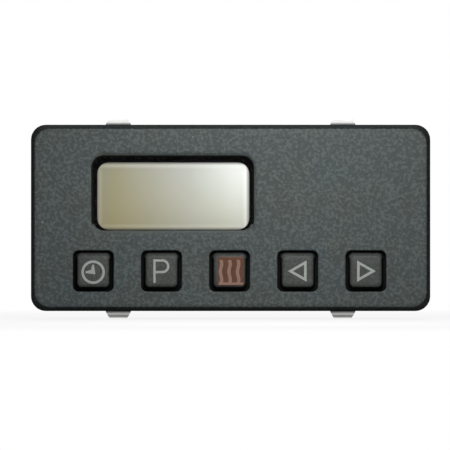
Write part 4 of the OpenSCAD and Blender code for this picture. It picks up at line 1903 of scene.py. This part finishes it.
CLIPS = tuple(
    SpringClip(f"spring_clip_{row}_{side}") for row in ("top", "bottom") for side in ("left", "right")
)


# ------------------------------------------------------- housing, connector


@dataclass
class RearHousing:
    """The box behind the panel, with a pocket and a bar for each clip."""

    corner: float = 1.45
    rear_edge: float = 0.6
    wall: float = 1.5
    inner_corner: float = 0.6
    clip_x: float = 21.2
    pocket_width: float = 5.4
    pocket_front: float = 2.35
    pocket_back: float = 16.6
    pocket_floor: float = 10.6
    pocket_wall: float = 0.7
    pocket_lap: float = 0.05
    bar_radius: float = 0.8
    bar_root: float = 0.1
    slot_x: float = 33.0
    slot_depths: Point = (2.5, 4.6)
    slot_heights: Point = (6.9, 12.1)
    opening: Point = (21.3, 10.3)
    opening_corner: float = 0.9
    opening_depth: float = 4.5
    label: Point = (34.0, 16.0)
    label_x: float = -12.0
    label_depth: float = 0.35

    def build(self) -> None:
        """Builds the housing and lets it ride on the case."""
        box = NodeBox("rear_housing")
        width, height = box.size
        blank = Blank()
        steps = [(0.0, box.front), *((r, box.rear - d) for r, d in rounded_edge(self.rear_edge))]
        mouth, back = blank.stack([(box.outline(self.corner, r), y) for r, y in steps])
        blank.plate(back)
        inner = box.outline(self.inner_corner, self.wall)
        lip, floor = blank.stack([(inner, box.front), (inner, box.rear - self.wall)])
        blank.plate(mouth, [lip])
        blank.plate(floor)
        made = blank.piece("rear_cover", HOUSING_PLASTIC)
        for quarter in QUARTERS:
            carve(made, self.pocket_walls(quarter, height), Cut.ADD)
        for quarter in QUARTERS:
            carve(made, self.pocket(quarter, height))
            carve(made, self.hook_slot(quarter, width))
        opening = pane(self.opening, self.opening_corner, NodeBox("connector_header").centre)
        label = pane(self.label, self.opening_corner, (self.label_x, 0.0))
        for outline, depth in ((opening, self.opening_depth), (label, self.label_depth)):
            cutter = Blank()
            cutter.slab(outline, box.rear - depth, box.rear + CUT_REACH)
            carve(made, cutter)
        settle(made, CASE, ["rear_housing"], edge=0.15)
        self.build_bars()

    @staticmethod
    def block(quarter: Quarter, low: Place, high: Place) -> Blank:
        """Draws a box in one quarter of the housing.

        Args:
            quarter: The quarter.
            low: Lower corner of the box, were it in the upper right quarter.
            high: Its higher corner.

        Returns:
            The box's mesh.
        """
        side, half = quarter
        blank = Blank()
        xs = sorted((side * low[0], side * high[0]))
        zs = sorted((half * low[2], half * high[2]))
        blank.brick((xs[0], low[1], zs[0]), (xs[1], high[1], zs[1]))
        return blank

    def pocket_walls(self, quarter: Quarter, height: float) -> Blank:
        """Draws the solid round one clip's pocket.

        Args:
            quarter: The quarter that it lies in.
            height: Height of the housing.

        Returns:
            The solid's mesh.
        """
        reach = self.pocket_width / 2 + self.pocket_wall
        low = (self.clip_x - reach, self.pocket_front, self.pocket_floor - self.pocket_wall)
        high = (self.clip_x + reach, self.pocket_back + self.pocket_wall, height / 2 - self.wall / 2)
        return self.block(quarter, low, high)

    def pocket(self, quarter: Quarter, height: float) -> Blank:
        """Draws the space that one clip swings in.

        Args:
            quarter: The quarter that it lies in.
            height: Height of the housing.

        Returns:
            The space's mesh.
        """
        reach = self.pocket_width / 2
        low = (self.clip_x - reach, self.pocket_front - self.pocket_lap, self.pocket_floor)
        return self.block(quarter, low, (self.clip_x + reach, self.pocket_back, height))

    def hook_slot(self, quarter: Quarter, width: float) -> Blank:
        """The slot that one snap hook catches in."""
        return self.block(quarter, *zip((self.slot_x, width), self.slot_depths, self.slot_heights))

    def build_bars(self) -> None:
        """Builds the four bars that the clips hook round."""
        blank = Blank()
        reach = self.pocket_width / 2 + self.bar_root
        circle = disc(self.bar_radius, SpringClip.pivot, 24)
        for side, half in QUARTERS:
            ends = [side * self.clip_x + end * reach for end in ENDS]
            blank.between(*[[(x, y, half * z) for y, z in circle] for x in ends])
        settle(blank.piece("clip_bars", HOUSING_PLASTIC), CASE, ["rear_housing"])


@dataclass
class Connector:
    """The header on the board: a shrouded socket with two rows of pins."""

    size: Point = (21.0, 10.0)
    corner: float = 0.8
    mouth: Point = (18.8, 7.8)
    mouth_corner: float = 0.4
    floor: float = 8.5
    lip: float = 0.25
    peg_radius: float = 0.7
    peg_x: float = 9.2
    rib_places: Point = (-5.5, 6.5)
    rib_width: float = 1.0
    rib_height: float = 0.7
    rib_end: float = 1.0
    lap: float = 0.05
    latch_width: float = 4.4
    latch_depths: Point = (1.6, 0.6)
    columns: int = 6
    pitch: float = 2.54
    pin: float = 0.64
    pin_taper: float = 0.7
    pin_tips: Point = (0.3, 0.26)
    pin_corner: float = 0.06

    def build(self) -> None:
        """Builds the header and its pins."""
        self.build_header()
        self.build_pins()

    def build_header(self) -> None:
        """Builds the plastic header."""
        box = NodeBox("connector_header")
        x, z = box.centre
        rear = box.rear
        board = NodeBox("circuit_board").rear

        def outline(size: Point, corner: float, grow: float) -> list[Point]:
            """A pane about the header's axis, larger all round by this much."""
            return pane((size[0] + 2 * grow, size[1] + 2 * grow), corner, box.centre)

        edge = rounded_edge(self.lip, 3)
        layers = [(outline(self.size, self.corner, 0.0), board)]
        layers += [(outline(self.size, self.corner, -r), rear - d) for r, d in edge]
        layers += [(outline(self.mouth, self.mouth_corner, r), rear - d) for r, d in reversed(edge)]
        layers.append((outline(self.mouth, self.mouth_corner, 0.0), self.floor))
        blank = Blank()
        blank.solid(layers)
        made = blank.piece("connector_shroud", CONNECTOR_PLASTIC)
        slot = Blank()
        half = self.latch_width / 2
        deep, shallow = self.latch_depths
        near = (x - half, rear - deep, self.mouth[1] / 2 - self.lap)
        slot.brick(near, (x + half, rear - shallow, self.size[1]))
        carve(made, slot)
        extras = Blank()
        for side in ENDS:
            peg = [(self.peg_radius, box.front), (self.peg_radius, board + self.lap)]
            extras.turned(peg, (x + side * self.peg_x, z))
        for place in self.rib_places:
            left, foot = x + place - self.rib_width / 2, z - self.mouth[1] / 2
            far = (left + self.rib_width, rear - self.rib_end, foot + self.rib_height)
            extras.brick((left, self.floor - self.lap, foot - self.lap), far)
        carve(made, extras, Cut.ADD)
        settle(made, CASE, ["connector_header"], edge=0.1)

    def build_pins(self) -> None:
        """Builds the square pins with tapered ends."""
        box = NodeBox("connector_pins")
        x, z = box.centre
        steps = (
            (self.pin_tips[0], box.front), (self.pin, box.front + self.pin_taper),
            (self.pin, box.rear - self.pin_taper), (self.pin_tips[1], box.rear),
        )
        blank = Blank()
        for column in range(self.columns):
            for row in (-0.5, 0.5):
                centre = (x + (column - (self.columns - 1) / 2) * self.pitch, z + row * self.pitch)
                blank.solid([(pane((w, w), self.pin_corner, centre, 2), depth) for w, depth in steps])
        settle(blank.piece("contact_pins", PIN_METAL), CASE, ["connector_pins"])


# --------------------------------------------------------------------- board


@dataclass
class Board:
    """The circuit board with what is soldered and screwed to it."""

    edge: float = 0.05
    finishes: Dressing = (
        (BOARD_LAMINATE, ("circuit_board",)),
        (SCREW_STEEL, ("board_screws",)),
        (CHIP_PLASTIC, ("microcontroller", "voltage_regulator", "output_transistors", "protection_diode")),
        (CAN_METAL, ("clock_crystal", "smoothing_capacitors")),
        (RESISTOR_CERAMIC, ("chip_resistors",)),
        (CAPACITOR_CERAMIC, ("chip_capacitors",)),
        (RED_LAMP, ("heat_led",)),
    )

    def build(self) -> None:
        """Dresses every part of the board."""
        for finish, nodes in self.finishes:
            dress_nodes(finish, *nodes, edge=self.edge)


# --------------------------------------------------------------------- stage


@dataclass
class Lamp:
    """A soft square lamp that looks at the object."""

    name: str
    azimuth: float
    elevation: float
    distance: float
    size: float
    level: float

    def build(self) -> None:
        """Hangs the lamp. A level of one lights a facing surface to its own colour."""
        data = bpy.data.lights.new(self.name, "AREA")
        data.size = self.size
        data.energy = self.level * (math.pi * self.distance) ** 2
        made = add_object(self.name, data)
        turn, rise = math.radians(self.azimuth), math.radians(self.elevation)
        level = math.cos(rise)
        away = Vector((math.sin(turn) * level, -math.cos(turn) * level, math.sin(rise)))
        made.location = away * self.distance
        made.rotation_euler = away.to_track_quat("Z", "Y").to_euler()
        made.visible_camera = False


@dataclass
class Studio:
    """The pale floor, the white surroundings, the lamps and the camera."""

    distance: float = 1.2
    view_width: float = 0.08417
    aim: Point = (-1.05, -1.335)
    clip: Point = (0.05, 20.0)
    floor_radius: float = 2.0
    floor_gap: float = 0.0001
    floor_tone: Colour = (0.6, 0.6, 0.6)
    floor_cloud: Point = (0.96, 1.0)
    floor_roughness: float = 0.9
    shadow_share: float = 0.14
    fade: Point = (60.0, 160.0)
    ambient: Point = (0.03, 0.32)
    lamps: tuple[Lamp, ...] = (
        Lamp("front_lamp", 8, 30, 0.083, 0.06, 0.97),
        Lamp("rear_lamp", 180, 40, 0.6, 0.4, 0.8),
    )

    def build(self) -> None:
        """Builds everything round the object."""
        bpy.context.scene.view_settings.view_transform = "Standard"
        self.build_camera()
        self.build_world()
        self.build_floor()
        for lamp in self.lamps:
            lamp.build()

    def build_camera(self) -> None:
        """Sets the camera straight in front of the face."""
        data = bpy.data.cameras.new("camera")
        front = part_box("front_bezel")[0].y
        data.lens = data.sensor_width * (self.distance + front) / self.view_width
        data.clip_start, data.clip_end = self.clip
        made = add_object("camera", data)
        made.location = (self.aim[0] * MM, -self.distance, self.aim[1] * MM)
        made.rotation_euler = (math.pi / 2, 0.0, 0.0)
        bpy.context.scene.camera = made

    def build_world(self) -> None:
        """Makes the surroundings white to look at and dimmer as a light."""
        world = bpy.data.worlds.new("surroundings")
        bpy.context.scene.world = world
        world.use_nodes = True
        graph = Graph(world.node_tree)
        rise = graph.axes(graph.node("TexCoord").outputs["Generated"])[2]
        ambient = graph.fitted(rise, -1.0, 1.0, *self.ambient)
        strength = graph.fitted(graph.seen(), 0.0, 1.0, ambient, 1.0)
        graph.fill(world.node_tree.nodes["Background"], {"Color": WHITE, "Strength": strength})

    def build_floor(self) -> None:
        """Lays the floor just under the lowest clip."""
        data = bpy.data.meshes.new("floor")
        height = CAD_BOX[0].z - self.floor_gap
        rim = disc(self.floor_radius, count=64)
        data.from_pydata([(x, y, height) for x, y in rim], [], [tuple(range(len(rim)))])
        data.materials.append(self.floor_material())
        floor = add_object("floor", data)

    def floor_material(self) -> bpy.types.Material:
        """Makes a pale floor that fades into the white but keeps the shadow, clear from below.

        Returns:
            The floor's material.
        """
        made = bpy.data.materials.new("floor")
        made.use_nodes = True
        graph = Graph(made.node_tree)
        shader = made.node_tree.nodes["Principled BSDF"]
        place = graph.position()
        noise = graph.noise(graph.scaled(place, 0.01), 2.0)
        cloud = graph.fitted(noise, *NOISE_REACH, *self.floor_cloud)
        colour = graph.scaled(self.floor_tone, cloud)
        inputs = {"Base Color": colour, "Roughness": self.floor_roughness, "Specular IOR Level": 0.0}
        graph.fill(shader, inputs)
        away = graph.node("VectorMath", {0: place}, operation="LENGTH").outputs["Value"]
        fade = graph.fitted(away, *self.fade, 1 - self.shadow_share, 1.0)
        share = graph.math("MULTIPLY", graph.seen(), fade)
        white = graph.node("Emission", {"Color": WHITE, "Strength": 1.0}).outputs[0]
        lit = graph.node("MixShader", {0: share, 1: shader.outputs[0], 2: white})
        under = graph.node("NewGeometry").outputs["Backfacing"]
        clear = graph.node("BsdfTransparent").outputs[0]
        whole = graph.node("MixShader", {0: under, 1: lit.outputs[0], 2: clear})
        graph.fill(made.node_tree.nodes["Material Output"], {"Surface": whole.outputs[0]})
        return made


def main() -> None:
    """Builds the stage and each sub-assembly in order."""
    logging.basicConfig(level=logging.INFO, format="%(message)s")
    Studio().build()
    FacePlate().build()
    Display().build()
    for key in KEYS:
        key.build()
    KeyMat().build()
    Board().build()
    Connector().build()
    RearHousing().build()
    for clip in CLIPS:
        clip.build()


if __name__ == "__main__":
    main()
